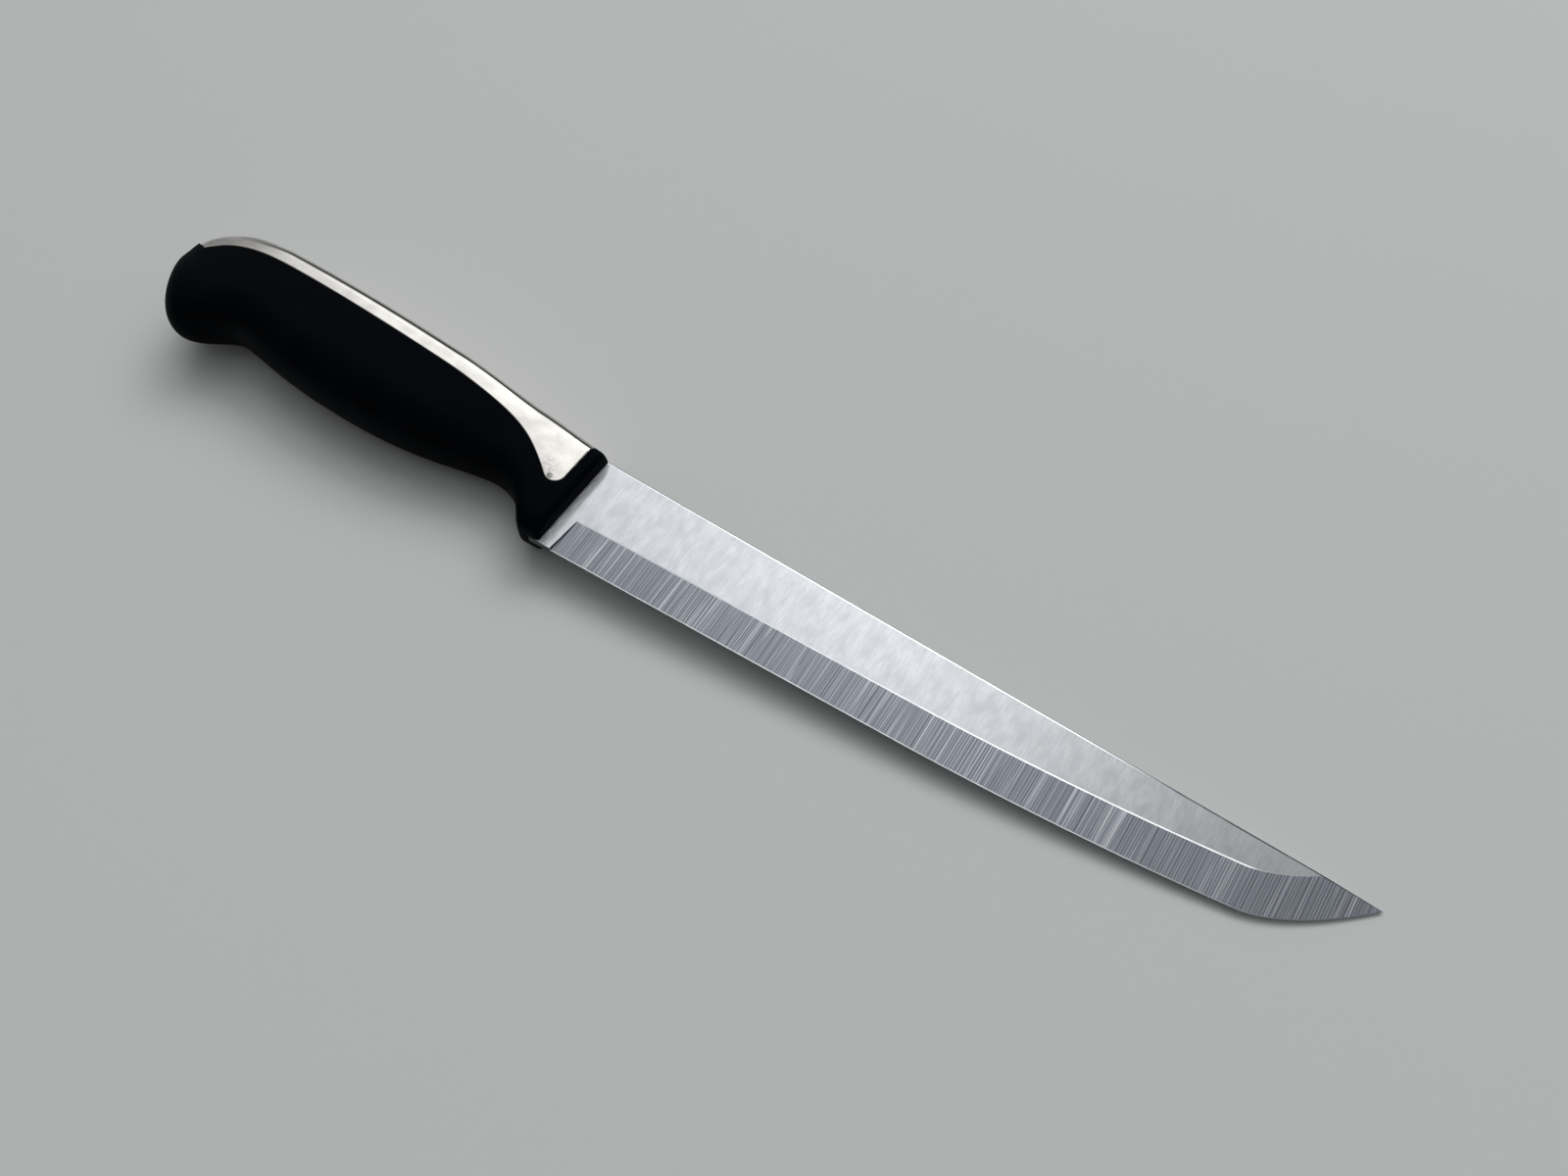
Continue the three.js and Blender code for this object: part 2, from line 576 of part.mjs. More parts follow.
// The pin's ends are ground flush with the strap.
function makeStrapPin() {
  return crossRod(strapPinPlace, STRAP_PIN_DIAMETER, THROUGH).intersect(outerForm);
}

// Materials
const satinSteel = { color: 0xc4c6c9, metalness: 1, roughness: 0.34 };
const polishedStrap = { color: 0xd6d3cc, metalness: 1, roughness: 0.26 };
const softBlack = { color: 0x0b0d11, metalness: 0, roughness: 0.62 };
const corePlastic = { color: 0x23252a, metalness: 0, roughness: 0.5 };
const pinSteel = { color: 0xa9abad, metalness: 1, roughness: 0.4 };

const knife = new THREE.Group();

function addPiece(name, body, look) {
  const piece = new THREE.Mesh(geometryOf(body), new THREE.MeshStandardMaterial(look));
  piece.name = name;
  knife.add(piece);
}

const core = makeCore();
addPiece("blade", makeBlade(), satinSteel);
addPiece("back_strap", makeStrap(), polishedStrap);
addPiece("grip", makeGrip(), softBlack);
addPiece("core_right", halfOfCore(core, 1), corePlastic);
addPiece("core_left", halfOfCore(core, -1), corePlastic);
addPiece("strap_pin", makeStrapPin(), pinSteel);
for (const [name, place] of Object.entries(rivets)) addPiece(name, makeRivet(place), pinSteel);

// The middle of the box's floor becomes the origin.
const box = new THREE.Box3().setFromObject(knife);
const middle = box.getCenter(new THREE.Vector3());
knife.position.set(-middle.x, -middle.y, -box.min.z);

const part = new THREE.Group();
part.add(knife);

export default part;
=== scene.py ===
"""Looks of a carving knife that lies on its left side: ground blade, soft black handle, steel back strap.

Sizes are in millimetres in the knife's own frame: x from the collar's front to the point, y from the cutting
edge to the spine, z out of the right side, with z = 0 half way through the blade. at() turns them into places
in the scene.
"""
import math
from bisect import bisect_left

import bpy
from mathutils import Matrix, Vector
from mathutils.kdtree import KDTree


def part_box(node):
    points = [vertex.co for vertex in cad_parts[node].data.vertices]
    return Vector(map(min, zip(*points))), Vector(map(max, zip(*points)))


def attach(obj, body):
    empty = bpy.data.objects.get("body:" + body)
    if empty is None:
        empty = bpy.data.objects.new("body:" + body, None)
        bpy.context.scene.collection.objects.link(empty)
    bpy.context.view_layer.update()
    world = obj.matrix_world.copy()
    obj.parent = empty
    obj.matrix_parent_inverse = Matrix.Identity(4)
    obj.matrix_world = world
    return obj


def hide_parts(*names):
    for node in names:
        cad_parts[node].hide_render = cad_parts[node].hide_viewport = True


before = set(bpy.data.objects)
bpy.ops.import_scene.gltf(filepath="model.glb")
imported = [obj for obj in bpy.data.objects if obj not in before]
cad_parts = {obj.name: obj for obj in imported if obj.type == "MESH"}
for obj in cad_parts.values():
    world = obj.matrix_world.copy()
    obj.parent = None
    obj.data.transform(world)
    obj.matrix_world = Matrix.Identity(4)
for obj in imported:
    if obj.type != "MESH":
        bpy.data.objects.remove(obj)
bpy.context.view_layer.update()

MM = 0.001
SMALL = 0.001  # a length or a share that is too small to show
TINY = 1e-9  # keeps divisions safe

# Blade
BLADE_LENGTH = 203
BLADE_HALF = 1  # half its thickness
HEEL_HEIGHT = 28
POINT_HEIGHT = 19.4
LEAN = (HEEL_HEIGHT - POINT_HEIGHT) / BLADE_LENGTH  # spine's fall for each millimetre
BEVEL_WIDTH = 9.7
TIP_NARROWING = 0.1  # share of its width that the bevel loses at the point
EDGE_HALF = 0.05
HONE_WIDTH = 0.25  # narrow honed band at the cutting edge
BURNISH_WIDTH = 0.35  # bright line where the bevel meets the flat
BURR = 0.06  # how far it stands above the flat
BURNISH_FADE = 0.3  # share of the sweep to the point in which it dies away
BURNISH_LOSS = 0.95  # share of it that is gone then
RICASSO_LENGTH = 3.6
PLUNGE_LENGTH = 0.35
PLUNGE_LEAN = 0.09  # forward lean of the line where the grinding starts
STRAIGHT_EDGE = 95
SWEEP_LENGTH = 28
SWEEP_RISE = 3.75
POINT_ANGLE = 41
SPINE_ROUND = 0.4
SPINE_ROUND_MIDDLE = 0.3  # how far in the middle of the rounding lies, as a share of it
SPINE_RUB = 0.24  # width of the bright line along the spine's corner
SPINE_RUB_DROP = 0.04

# Heel and tang, inside the handle
HEEL_INSET = 2.5
SHOULDER_HEIGHT = 25.5
COLLAR_GAP = 0.3  # shoulder to collar
TANG_SECTIONS = (  # x, low, high
    (-1.5, 11.2, 22.7),
    (-5.7, 11.2, 22.7),
    (-20, 13.2, 22.7),
    (-96.7, 18.7, 26.7),
)
RIVET_PLACES = ((-40, 19.2), (-82.7, 22.0))
RIVET_HOLE = 4.3
SLOT_GAP = 0.12  # between the blade's side and the collar

# Handle's outline. An ease belongs to the curve that starts at the point above it, and says how far that
# curve goes straight on at its two ends, as shares of its run.
HANDLE_LENGTH = 132.7
CHIN_REAR = Vector((-4.9, 0))
CHIN_EASE = (0.19, 0.72)
NOTCH = Vector((-20, 9.2))
NOTCH_EASE = (0.2, 0.47)
BELLY = Vector((-60, 5.1))
BELLY_EASE = (0.6, 0.12)
DIP = Vector((-103.5, 9.7))
DIP_EASE = (0.45, 0.3)
BUTT_LOW = Vector((-118.7, 3.3))
BUTT_LOW_EASE = (0.5, 0.33)
BUTT_END = Vector((-132.7, 24))
CREST = Vector((-112.7, 36.8))
CREST_EASE = (0.44, 0.36)
COLLAR_HEIGHT = 28.1
COLLAR_TOP = Vector((LEAN * COLLAR_HEIGHT, COLLAR_HEIGHT))
BACK_SLOPE = math.tan(math.radians(6.3))
BACK_EASE = (0.3, 0.34)
BUTT_STATION = -BUTT_LOW.x

# Handle's half thickness and section
COLLAR_HALF = 6.2
NECK_HALF = 7.3
BELLY_HALF = 10
BUTT_HALF = 9.8
WIDTH_EASE = (0.35, 0.35)
BUTT_WIDTH_EASE = (0.35, 0.5)
REAR_START = -104  # where the narrowing to the butt's end starts
FLANK_REACH = 12
FLANK_HEIGHT = 7
COLLAR_POWER = 4
BELLY_POWER = 2.2
BUTT_POWER = 2.8
BACK_NARROWING = 0.1
BACK_CROWN = 0.4
CORNER_RADIUS = 2.8
BUTT_CORNER = 4.2
CORNER_STATIONS = (108, 122)  # where the corner grows from one to the other
FRONT_PROUD = 0.3  # how far the collar reaches forward
FRONT_DEPTH = 1.6  # length of its rounded front
FRONT_INSETS = (1, 0.3, 1.6)  # its rounding below, above and at the sides
GRIP_WALL = 2.4

# Back strap and the seam round it
STRAP_SHEET = 1
SEAM_GAP = 0.12
COLLAR_LENGTH = 3.2
LOBE_RADIUS = 2.9
LOBE_LOW = 13.3
LOBE_ANGLE = 40
FLARE_FULLNESS = 0.8
BAND_START = Vector((-34, 25.55))
BAND_SLOPE = 0.125
BAND_TOP = Vector((-103.5, 30.9))
BAND_REACH = 16
TAIL = Vector((-125.4, 25.2))
TAIL_SLOPE = 0.75
TAIL_REACH = 8
CUT_ROUND = 0.5
CUT_SLOPE = 0.45  # rise of the cut across the strap's end
CUT_LENGTH = 10
LIP_PROUD = 0.16  # how far the soft skin stands out behind the strap's end
LIP_REACH = 3.5
STRAP_SINK = 0.2  # how far the strap's end sinks in
SINK_REACH = 7
STRAP_LIP = 0.28  # rounding of the strap's pressed edge
GRIP_LIP = 0.2  # rounding of the soft skin's edge along the seam
PIN_PLACE = Vector((-5.7, 14.4))
PIN_RADIUS = 0.7
PIN_GAP = 0.04
PIN_ROUND = 0.04
PIN_SINK = 0.02

# Fineness of the meshes
TRACE_STEPS = 300
HALVINGS = 50
SECTION_STEPS = {"lower": 60, "side": 16, "corner": 24, "back": 12}
NEAR_LIP = (0, 0.04, 0.09, 0.16, 0.24, 0.34, 0.55)  # distances from an edge that get points of their own
LOW_COUNT = 36
HIGH_COUNT = 24
BORDER_COLUMN = LOW_COUNT + len(NEAR_LIP) - 1
FRONT_STEPS = 9
LOBE_STEP = math.radians(6)
EDGE_COUNTS = (26, 50, 30)  # flare, band, tail
CUT_ROUND_STEPS = 8
CUT_STEPS = 60
BUTT_ROWS = 40
SEAM_STEP = 0.03
BLADE_STEPS = {"straight": 12, "rise": 40, "sweep": 60}
PIN_SIDES = 48
PIN_ROUND_STEPS = 3
MERGE = 0.002  # points closer than this become one
SKIN_CREASE = 35  # degrees past which an edge stays sharp
BLADE_CREASE = 1.5
PIN_CREASE = 50

# Finishes
LINE_TURN = (0, 0, -math.radians(3))  # lean of the polishing and grinding lines towards the point
# Beside the collar the steel is duller and also painted lighter, as painted light.
DULL_BAND = (1.6, 3.2)  # beside the collar, from fully dull to polished
DARK_PATCH_PLACE = Vector((-8, 15.5))
DARK_PATCH_REACH = (1, 4.5)
# Painted highlight: the burnished line at the bevel's top is grey near the plunge and painted lighter from 40
# mm, to near white at 150 mm, where it catches the light.
BURNISH_HIGHLIGHT_TONES = ((40, "#a9abae"), (150, "#fcfcfd"))  # distance from the collar, colour
# Painted highlight and shade: the honed edge is near white up to 150 mm as a painted highlight, then painted
# darker towards the point as painted shade.
HONE_LIGHT_AND_SHADE_TONES = ((150, "#f4f5f6"), (185, "#8f9298"))
# Painted reflection: the rubbed line along the spine's corner is pale where it mirrors the bright sky,
# brightest near 110 mm, and painted near black past 150 mm as a painted dark reflection.
RUB_LIGHT_AND_SHADE_TONES = (
    (0, "#cfd0d2"),
    (30, "#c9cacc"),
    (70, "#c6c7c9"),
    (110, "#dcdddf"),
    (132, "#c8c9cb"),
    (156, "#45474b"),
)
# Painted shade: the heel's narrow under face is an even dark grey, standing in for the shadowed floor that it
# mirrors.
UNDER_FACE_SHADE_TONES = ((0, "#595b5f"), (BLADE_LENGTH, "#595b5f"))
# Painted shade: the pin is a darker grey than the other steel, standing in for the dark pit round it.
PIN_SHADE_TONES = ((0, "#8d8b88"), (BLADE_LENGTH, "#8d8b88"))

# Stage
FLOOR_TIP = Vector((190, -1))  # place along the blade, and depth, of the corner that touches the table
FLOOR_SIZE = 6
CAMERA_LENS = 27.05
CAMERA_SENSOR = 36
CAMERA_CLIP = 0.01
CAMERA_PLACE = (117.6, -99.8, 244.3)
CAMERA_AXES = ((0.8613, 0.5068, 0.0346), (-0.4586, 0.7465, 0.4819), (-0.2185, 0.4310, -0.8755))

# Light. A fade is where the sky dims, along one axis of its direction, and a level is its brightness there.
SKY_TINT = (0.985, 1, 1.02, 1)
SKY_LEVEL = 1.65
FAR_FADE = (0.09, 0.5)
RIGHT_FADE = (0.17, -0.08)
RIGHT_LEVEL = 0.26
LEFT_FADE = (-0.73, -0.57)
LEFT_LEVEL = 0.2
LOW_FADE = (0.4, 0.56)
ZENITH_FADE = (0.8, 0.95)
ZENITH_LEVEL = 0.28
EDGE_FADE = (-0.6, -0.85)
EDGE_LEVEL = 0.4
ROOM_FADE = (0, 0.5)
ROOM_LEVELS = (0.03, 0.13)
LAMP_PLACE = (0, 1224, 1173)
LAMP_SIZE = (0.9, 0.6)
LAMP_RADIANCE = 2.6


def at(x, y, z):
    return SHIFT + Vector((x, y, z)) * MM


blade_low, blade_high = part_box("blade")
SHIFT = Vector((blade_high.x - BLADE_LENGTH * MM, blade_low.y, (blade_low.z + blade_high.z) / 2))


# Curves

def bezier(points, share):
    while len(points) > 1:
        points = [a.lerp(b, share) for a, b in zip(points, points[1:])]
    return points[0]


def level_ends(start, end, leave, arrive):
    """Control points of a curve that is level at both ends."""
    run = Vector((end.x - start.x, 0))
    return [start, start + leave * run, end - arrive * run, end]


def quarter_turn(start, end, leave, arrive):
    """Control points of a curve that starts level and ends upright."""
    first = Vector((start.x + leave * (end.x - start.x), start.y))
    return [start, first, Vector((end.x, end.y - arrive * (end.y - start.y))), end]


def height_along(*curves):
    """Function of x that gives the height of curves laid end to end, which run backwards along the knife."""
    line = [bezier(curve, k / TRACE_STEPS) for curve in curves for k in range(TRACE_STEPS)]
    line.append(curves[-1][-1])
    places = [-p.x for p in line]

    def height(x):
        i = min(max(bisect_left(places, -x), 1), len(line) - 1)
        a, b = line[i - 1], line[i]
        return a.y + (b.y - a.y) * (x - a.x) / (b.x - a.x)

    return height


def crossing(p, slope_p, q, slope_q):
    x = (q.y - p.y + slope_p * p.x - slope_q * q.x) / (slope_p - slope_q)
    return Vector((x, p.y + slope_p * (x - p.x)))


def smooth(share):
    share = min(max(share, 0), 1)
    return share * share * (3 - 2 * share)


back_run = CREST.x - COLLAR_TOP.x
back_first = COLLAR_TOP + BACK_EASE[0] * back_run * Vector((1, -BACK_SLOPE))
back_last = CREST - Vector((BACK_EASE[1] * back_run, 0))
back = height_along([COLLAR_TOP, back_first, back_last, CREST])
under = height_along(
    [Vector((0, 0)), CHIN_REAR],
    level_ends(CHIN_REAR, NOTCH, *CHIN_EASE),
    level_ends(NOTCH, BELLY, *NOTCH_EASE),
    level_ends(BELLY, DIP, *BELLY_EASE),
    level_ends(DIP, BUTT_LOW, *DIP_EASE),
)
neck_width = Vector((NOTCH.x, NECK_HALF))
flank_front = Vector((BELLY.x + FLANK_REACH, BELLY_HALF))
flank_rear = Vector((BELLY.x - FLANK_REACH, BELLY_HALF))
half_width = height_along(
    level_ends(Vector((0, COLLAR_HALF)), neck_width, *WIDTH_EASE),
    level_ends(neck_width, flank_front, *WIDTH_EASE),
    [flank_front, flank_rear],
    level_ends(flank_rear, Vector((BUTT_LOW.x, BUTT_HALF)), *BUTT_WIDTH_EASE),
)
butt_under = quarter_turn(BUTT_LOW, BUTT_END, *BUTT_LOW_EASE)
butt_over = quarter_turn(CREST, BUTT_END, *CREST_EASE)


# Handle's sections. A station is a distance behind the collar's front, along the under side.

def rib(station, insets=(0, 0, 0)):
    """A section's under point and back point, half thickness, power of its rounding and corner's radius."""
    if station <= BUTT_STATION:
        high_x = COLLAR_TOP.x + station / BUTT_STATION * back_run
        low, high = Vector((-station, under(-station))), Vector((high_x, back(high_x)))
        width = half_width(-station)
        past_chin = smooth((station + CHIN_REAR.x) / (CHIN_REAR.x - NOTCH.x))
        power = COLLAR_POWER + (BELLY_POWER - COLLAR_POWER) * past_chin
    else:
        share = (station - BUTT_STATION) / (HANDLE_LENGTH - BUTT_STATION)
        low, high = bezier(butt_under, share), bezier(butt_over, share)
        width = BUTT_HALF
        power = BELLY_POWER
    progress = ((low.x + high.x) / 2 - REAR_START) / (BUTT_END.x - REAR_START)
    width *= (1 - min(max(progress, 0), 1) ** BUTT_POWER) ** (1 / BUTT_POWER)
    along = (high - low).normalized()
    below, above, beside = insets
    first, last = CORNER_STATIONS
    corner = CORNER_RADIUS + (BUTT_CORNER - CORNER_RADIUS) * smooth((station - first) / (last - first))
    return low + below * along, high - above * along, width - beside, power, corner


def half_outline(half, width, power, corner):
    """Right half of a section from below to the back, as pairs of height along the rib and distance from the
    middle. Towards the butt's end its flat, corner and crown shrink with the section."""
    flank = min(FLANK_HEIGHT / 2, half / 4)
    points = []
    for k in range(SECTION_STEPS["lower"] + 1):
        turn = math.pi / 2 * k / SECTION_STEPS["lower"]
        reach = math.cos(turn) ** (2 / power)
        points.append(Vector((-flank - (half - flank) * reach, width * math.sin(turn) ** (2 / power))))
    radius = min(corner, half / 2, width / 2)
    narrowing = min(BACK_NARROWING, width / 4)
    crown = min(BACK_CROWN, half / 8)
    first = math.atan(2 * narrowing / (half - crown - radius - flank))
    centre_side = width - narrowing - radius * math.cos(first)
    last = math.pi / 2 - math.atan(2 * crown / centre_side)
    centre_height = half - crown - radius * math.sin(last)
    corner_start = centre_height + radius * math.sin(first)
    for k in range(SECTION_STEPS["side"]):
        share = k / SECTION_STEPS["side"]
        points.append(Vector((flank + (corner_start - flank) * share, width - narrowing * share ** 2)))
    for k in range(SECTION_STEPS["corner"] + 1):
        turn = first + (last - first) * k / SECTION_STEPS["corner"]
        height = centre_height + radius * math.sin(turn)
        points.append(Vector((height, centre_side + radius * math.cos(turn))))
    back_side = points[-1].y
    for k in range(1, SECTION_STEPS["back"] + 1):
        share = 1 - k / SECTION_STEPS["back"]
        points.append(Vector((half - crown * share ** 2, back_side * share)))
    return points


def half_ring(station, border, insets=(0, 0, 0)):
    """Right half of a section as places on the knife, from below to the top, with points crowded where a
    border crosses it, at a height along the rib."""
    low, high, width, power, corner = rib(station, insets)
    middle, half = (low + high) / 2, max((high - low).length / 2, SMALL)
    along = (high - low).normalized()
    outline = half_outline(half, max(width, SMALL), power, corner)
    lengths = [0]
    for a, b in zip(outline, outline[1:]):
        lengths.append(lengths[-1] + (b - a).length)

    def walk(distance):
        i = min(max(bisect_left(lengths, distance), 1), len(outline) - 1)
        share = (distance - lengths[i - 1]) / max(lengths[i] - lengths[i - 1], TINY)
        return outline[i - 1].lerp(outline[i], min(max(share, 0), 1))

    i = min(max(bisect_left([p.x for p in outline], border), 1), len(outline) - 1)
    share = (border - outline[i - 1].x) / max(outline[i].x - outline[i - 1].x, TINY)
    split = lengths[i - 1] + min(max(share, 0), 1) * (lengths[i] - lengths[i - 1])
    rest = lengths[-1] - split
    crowd = [min(1, split / 4) * d for d in reversed(NEAR_LIP)]
    distances = [(split - crowd[0]) * k / LOW_COUNT for k in range(LOW_COUNT)]
    distances += [split - d for d in crowd]
    crowd = [min(1, rest / 4) * d for d in NEAR_LIP]
    distances += [split + d for d in crowd[1:]]
    distances += [split + crowd[-1] + (rest - crowd[-1]) * (k + 1) / HIGH_COUNT for k in range(HIGH_COUNT)]
    places = []
    for distance in distances:
        height, side = walk(distance)
        p = middle + along * height
        places.append(Vector((p.x, p.y, side)))
    return places


def both_sides(right):
    """A right half ring from below to the top, continued down the left side."""
    return right + [Vector((p.x, p.y, -p.z)) for p in reversed(right[:-1])]


def station_through(point):
    """Station whose rib passes through a point of the side view, the point's height along the rib, and half
    the rib's length."""
    near, far = 0, HANDLE_LENGTH - SMALL
    for _ in range(HALVINGS):
        station = (near + far) / 2
        low, high = rib(station)[:2]
        if (high - low).cross(point - low) > 0:
            near = station
        else:
            far = station
    return station, (point - (low + high) / 2).dot((high - low).normalized()), (high - low).length / 2


def strap_edge(grow):
    """Strap's edge in side view, moved outwards by grow: from its front round the lobe, along the side and
    across the butt to the back. Also gives the number of its first point on the cut across the butt."""
    height = LOBE_LOW + LOBE_RADIUS
    front = LEAN * height - COLLAR_LENGTH
    centre = Vector((front - LOBE_RADIUS * math.hypot(1, LEAN), height))
    turns = [math.acos(1 - d / LOBE_RADIUS) for d in NEAR_LIP]
    last_turn = math.radians(90 + LOBE_ANGLE) - math.atan(LEAN)
    steps = round((last_turn - turns[-1]) / LOBE_STEP)
    turns += [turns[-1] + (last_turn - turns[-1]) * (k + 1) / steps for k in range(steps)]
    angles = [-math.atan(LEAN) - turn for turn in turns]
    edge = [centre + LOBE_RADIUS * Vector((math.cos(a), math.sin(a))) for a in angles]
    lobe_end = edge[-1]
    corner = crossing(lobe_end, -math.tan(math.radians(LOBE_ANGLE)), BAND_START, -BAND_SLOPE)
    flare_ends = [end.lerp(corner, FLARE_FULLNESS) for end in (lobe_end, BAND_START)]
    flare = [lobe_end, *flare_ends, BAND_START]
    level = Vector((BAND_REACH, 0))
    band = [BAND_START, BAND_START - BAND_REACH * Vector((1, -BAND_SLOPE)), BAND_TOP + level, BAND_TOP]
    fall = Vector((1, TAIL_SLOPE)).normalized()
    tail = [BAND_TOP, BAND_TOP - Vector((TAIL_REACH, 0)), TAIL + TAIL_REACH * fall, TAIL]
    for curve, count in zip((flare, band, tail), EDGE_COUNTS):
        edge += [bezier(curve, (k + 1) / count) for k in range(count)]
    cut_start = len(edge)
    turn_point, cut = TAIL - CUT_ROUND * fall, Vector((-1, CUT_SLOPE)).normalized()
    turn = [TAIL, turn_point, turn_point + CUT_ROUND * cut]
    edge += [bezier(turn, (k + 1) / CUT_ROUND_STEPS) for k in range(CUT_ROUND_STEPS)]
    edge += [turn[-1] + CUT_LENGTH * (k + 1) / CUT_STEPS * cut for k in range(CUT_STEPS)]
    grown = []
    for i, p in enumerate(edge):
        ahead = edge[min(i + 1, len(edge) - 1)] - edge[max(i - 1, 0)]
        grown.append(p + grow * Vector((-ahead.y, ahead.x)).normalized())
    return grown, cut_start


def strap_stations(edge):
    """Stations and border heights along the strap's edge, up to where it closes over the butt."""
    stations = []
    for point in edge:
        station, height, half = station_through(point)
        stations.append((station, min(height, half)))
        if height >= half:
            break
    return stations


def front_line(edge):
    """Line up the strap's front, from above the back to the first point of its edge."""
    top = CREST.y - edge[0].y
    return [edge[0] + top * Vector((LEAN, 1)), edge[0]]


def seam_tree(*lines):
    """Close row of points along lines in side view, to measure distances from."""
    places = []
    for a, b in (pair for line in lines for pair in zip(line, line[1:])):
        steps = max(1, round((b - a).length / SEAM_STEP))
        places += [a.lerp(b, k / steps) for k in range(steps)]
    tree = KDTree(len(places))
    for i, p in enumerate(places):
        tree.insert((p.x, p.y, 0), i)
    tree.balance()
    return tree


# Modelling

def deselect():
    bpy.ops.object.select_all(action="DESELECT")


def activate(piece):
    deselect()
    piece.select_set(True)
    bpy.context.view_layer.objects.active = piece


def pressed_sheet(name, rows, finishes):
    """A grid primitive pressed into shape: its vertices go to the rows' places."""
    deselect()
    columns = len(rows[0])
    bpy.ops.mesh.primitive_grid_add(x_subdivisions=columns - 1, y_subdivisions=len(rows) - 1, size=1)
    piece = bpy.context.object
    piece.name = piece.data.name = name
    assert len(piece.data.vertices) == columns * len(rows)
    piece.data.vertices.foreach_set("co", [c for row in rows for p in row for c in at(*p)])
    piece.data.update()
    for material in finishes:
        piece.data.materials.append(material)
    return piece


def weld(piece, outwards=False):
    """Merges points that coincide. Where asked, it also turns all faces outwards."""
    activate(piece)
    bpy.ops.object.mode_set(mode="EDIT")
    bpy.ops.mesh.select_all(action="SELECT")
    bpy.ops.mesh.remove_doubles(threshold=MERGE * MM)
    bpy.ops.mesh.dissolve_degenerate(threshold=MERGE * MM)
    if outwards:
        bpy.ops.mesh.normals_make_consistent(inside=False)
    bpy.ops.object.mode_set(mode="OBJECT")


def delete_faces(piece, unwanted):
    activate(piece)
    bpy.ops.object.mode_set(mode="EDIT")
    bpy.ops.mesh.select_mode(type="FACE")
    bpy.ops.mesh.select_all(action="DESELECT")
    bpy.ops.object.mode_set(mode="OBJECT")
    for i in unwanted:
        piece.data.polygons[i].select = True
    bpy.ops.object.mode_set(mode="EDIT")
    bpy.ops.mesh.delete(type="FACE")
    bpy.ops.mesh.select_mode(type="VERT")
    bpy.ops.object.mode_set(mode="OBJECT")


def modify(piece, kind, **settings):
    """Adds a modifier with its settings and applies it."""
    activate(piece)
    modifier = piece.modifiers.new(kind.lower(), kind)
    for key, value in settings.items():
        setattr(modifier, key, value)
    bpy.ops.object.modifier_apply(modifier=modifier.name)


def carve(piece, cutter, operation="DIFFERENCE"):
    modify(piece, "BOOLEAN", object=cutter, operation=operation, solver="MANIFOLD")
    bpy.data.objects.remove(cutter)


def wall_with_lip(piece, thickness, seam, lip, cut, rise, reach):
    """Gives a sheet its thickness inwards, rounds its outer edge off where it meets the seam, and raises it
    along the cut across the strap's end."""
    outer = [(v.co.copy(), v.normal.copy()) for v in piece.data.vertices]
    modify(piece, "SOLIDIFY", thickness=thickness * MM, offset=-1, use_rim=True)
    for vertex, (place, normal) in zip(piece.data.vertices, outer):
        side = (place - SHIFT) / MM
        out = rise * smooth(1 - cut.find((side.x, side.y, 0))[2] / reach)
        distance = seam.find((side.x, side.y, 0))[2]
        if distance < lip:
            out -= lip - math.sqrt(lip ** 2 - (lip - distance) ** 2)
        vertex.co = place + normal * out * MM
    piece.data.update()


def cross_pin(radius, x, y, half_length):
    """A round bar across the knife."""
    deselect()
    size = {"radius": radius * MM, "depth": 2 * half_length * MM}
    bpy.ops.mesh.primitive_cylinder_add(vertices=PIN_SIDES, location=at(x, y, 0), **size)
    bpy.ops.object.transform_apply(location=True, rotation=True, scale=True)
    return bpy.context.object


def block(low, high):
    """A block between two corners."""
    deselect()
    middle, size = (at(*low) + at(*high)) / 2, at(*high) - at(*low)
    bpy.ops.mesh.primitive_cube_add(size=1, location=middle)
    bpy.context.object.scale = size
    bpy.ops.object.transform_apply(location=True, rotation=True, scale=True)
    return bpy.context.object


def smooth_shade(piece, degrees):
    activate(piece)
    bpy.ops.object.shade_smooth_by_angle(angle=math.radians(degrees))


# Back strap

def make_strap(finishes):
    edge, cut_start = strap_edge(0)
    stations = strap_stations(edge)
    rows = [both_sides(half_ring(*s)[BORDER_COLUMN:]) for s in stations]
    strap = pressed_sheet("back_strap_pressing", rows, finishes)
    weld(strap)
    edge = edge[:len(stations)]
    seam, cut = seam_tree(front_line(edge), edge), seam_tree(edge[cut_start:])
    wall_with_lip(strap, STRAP_SHEET, seam, STRAP_LIP, cut, -STRAP_SINK, SINK_REACH)
    carve(strap, cross_pin(PIN_RADIUS + PIN_GAP, PIN_PLACE.x, PIN_PLACE.y, BELLY_HALF))
    smooth_shade(strap, SKIN_CREASE)
    return strap


# Soft grip: rows from the collar's rounded front to the butt, opened for the strap and slotted for the blade

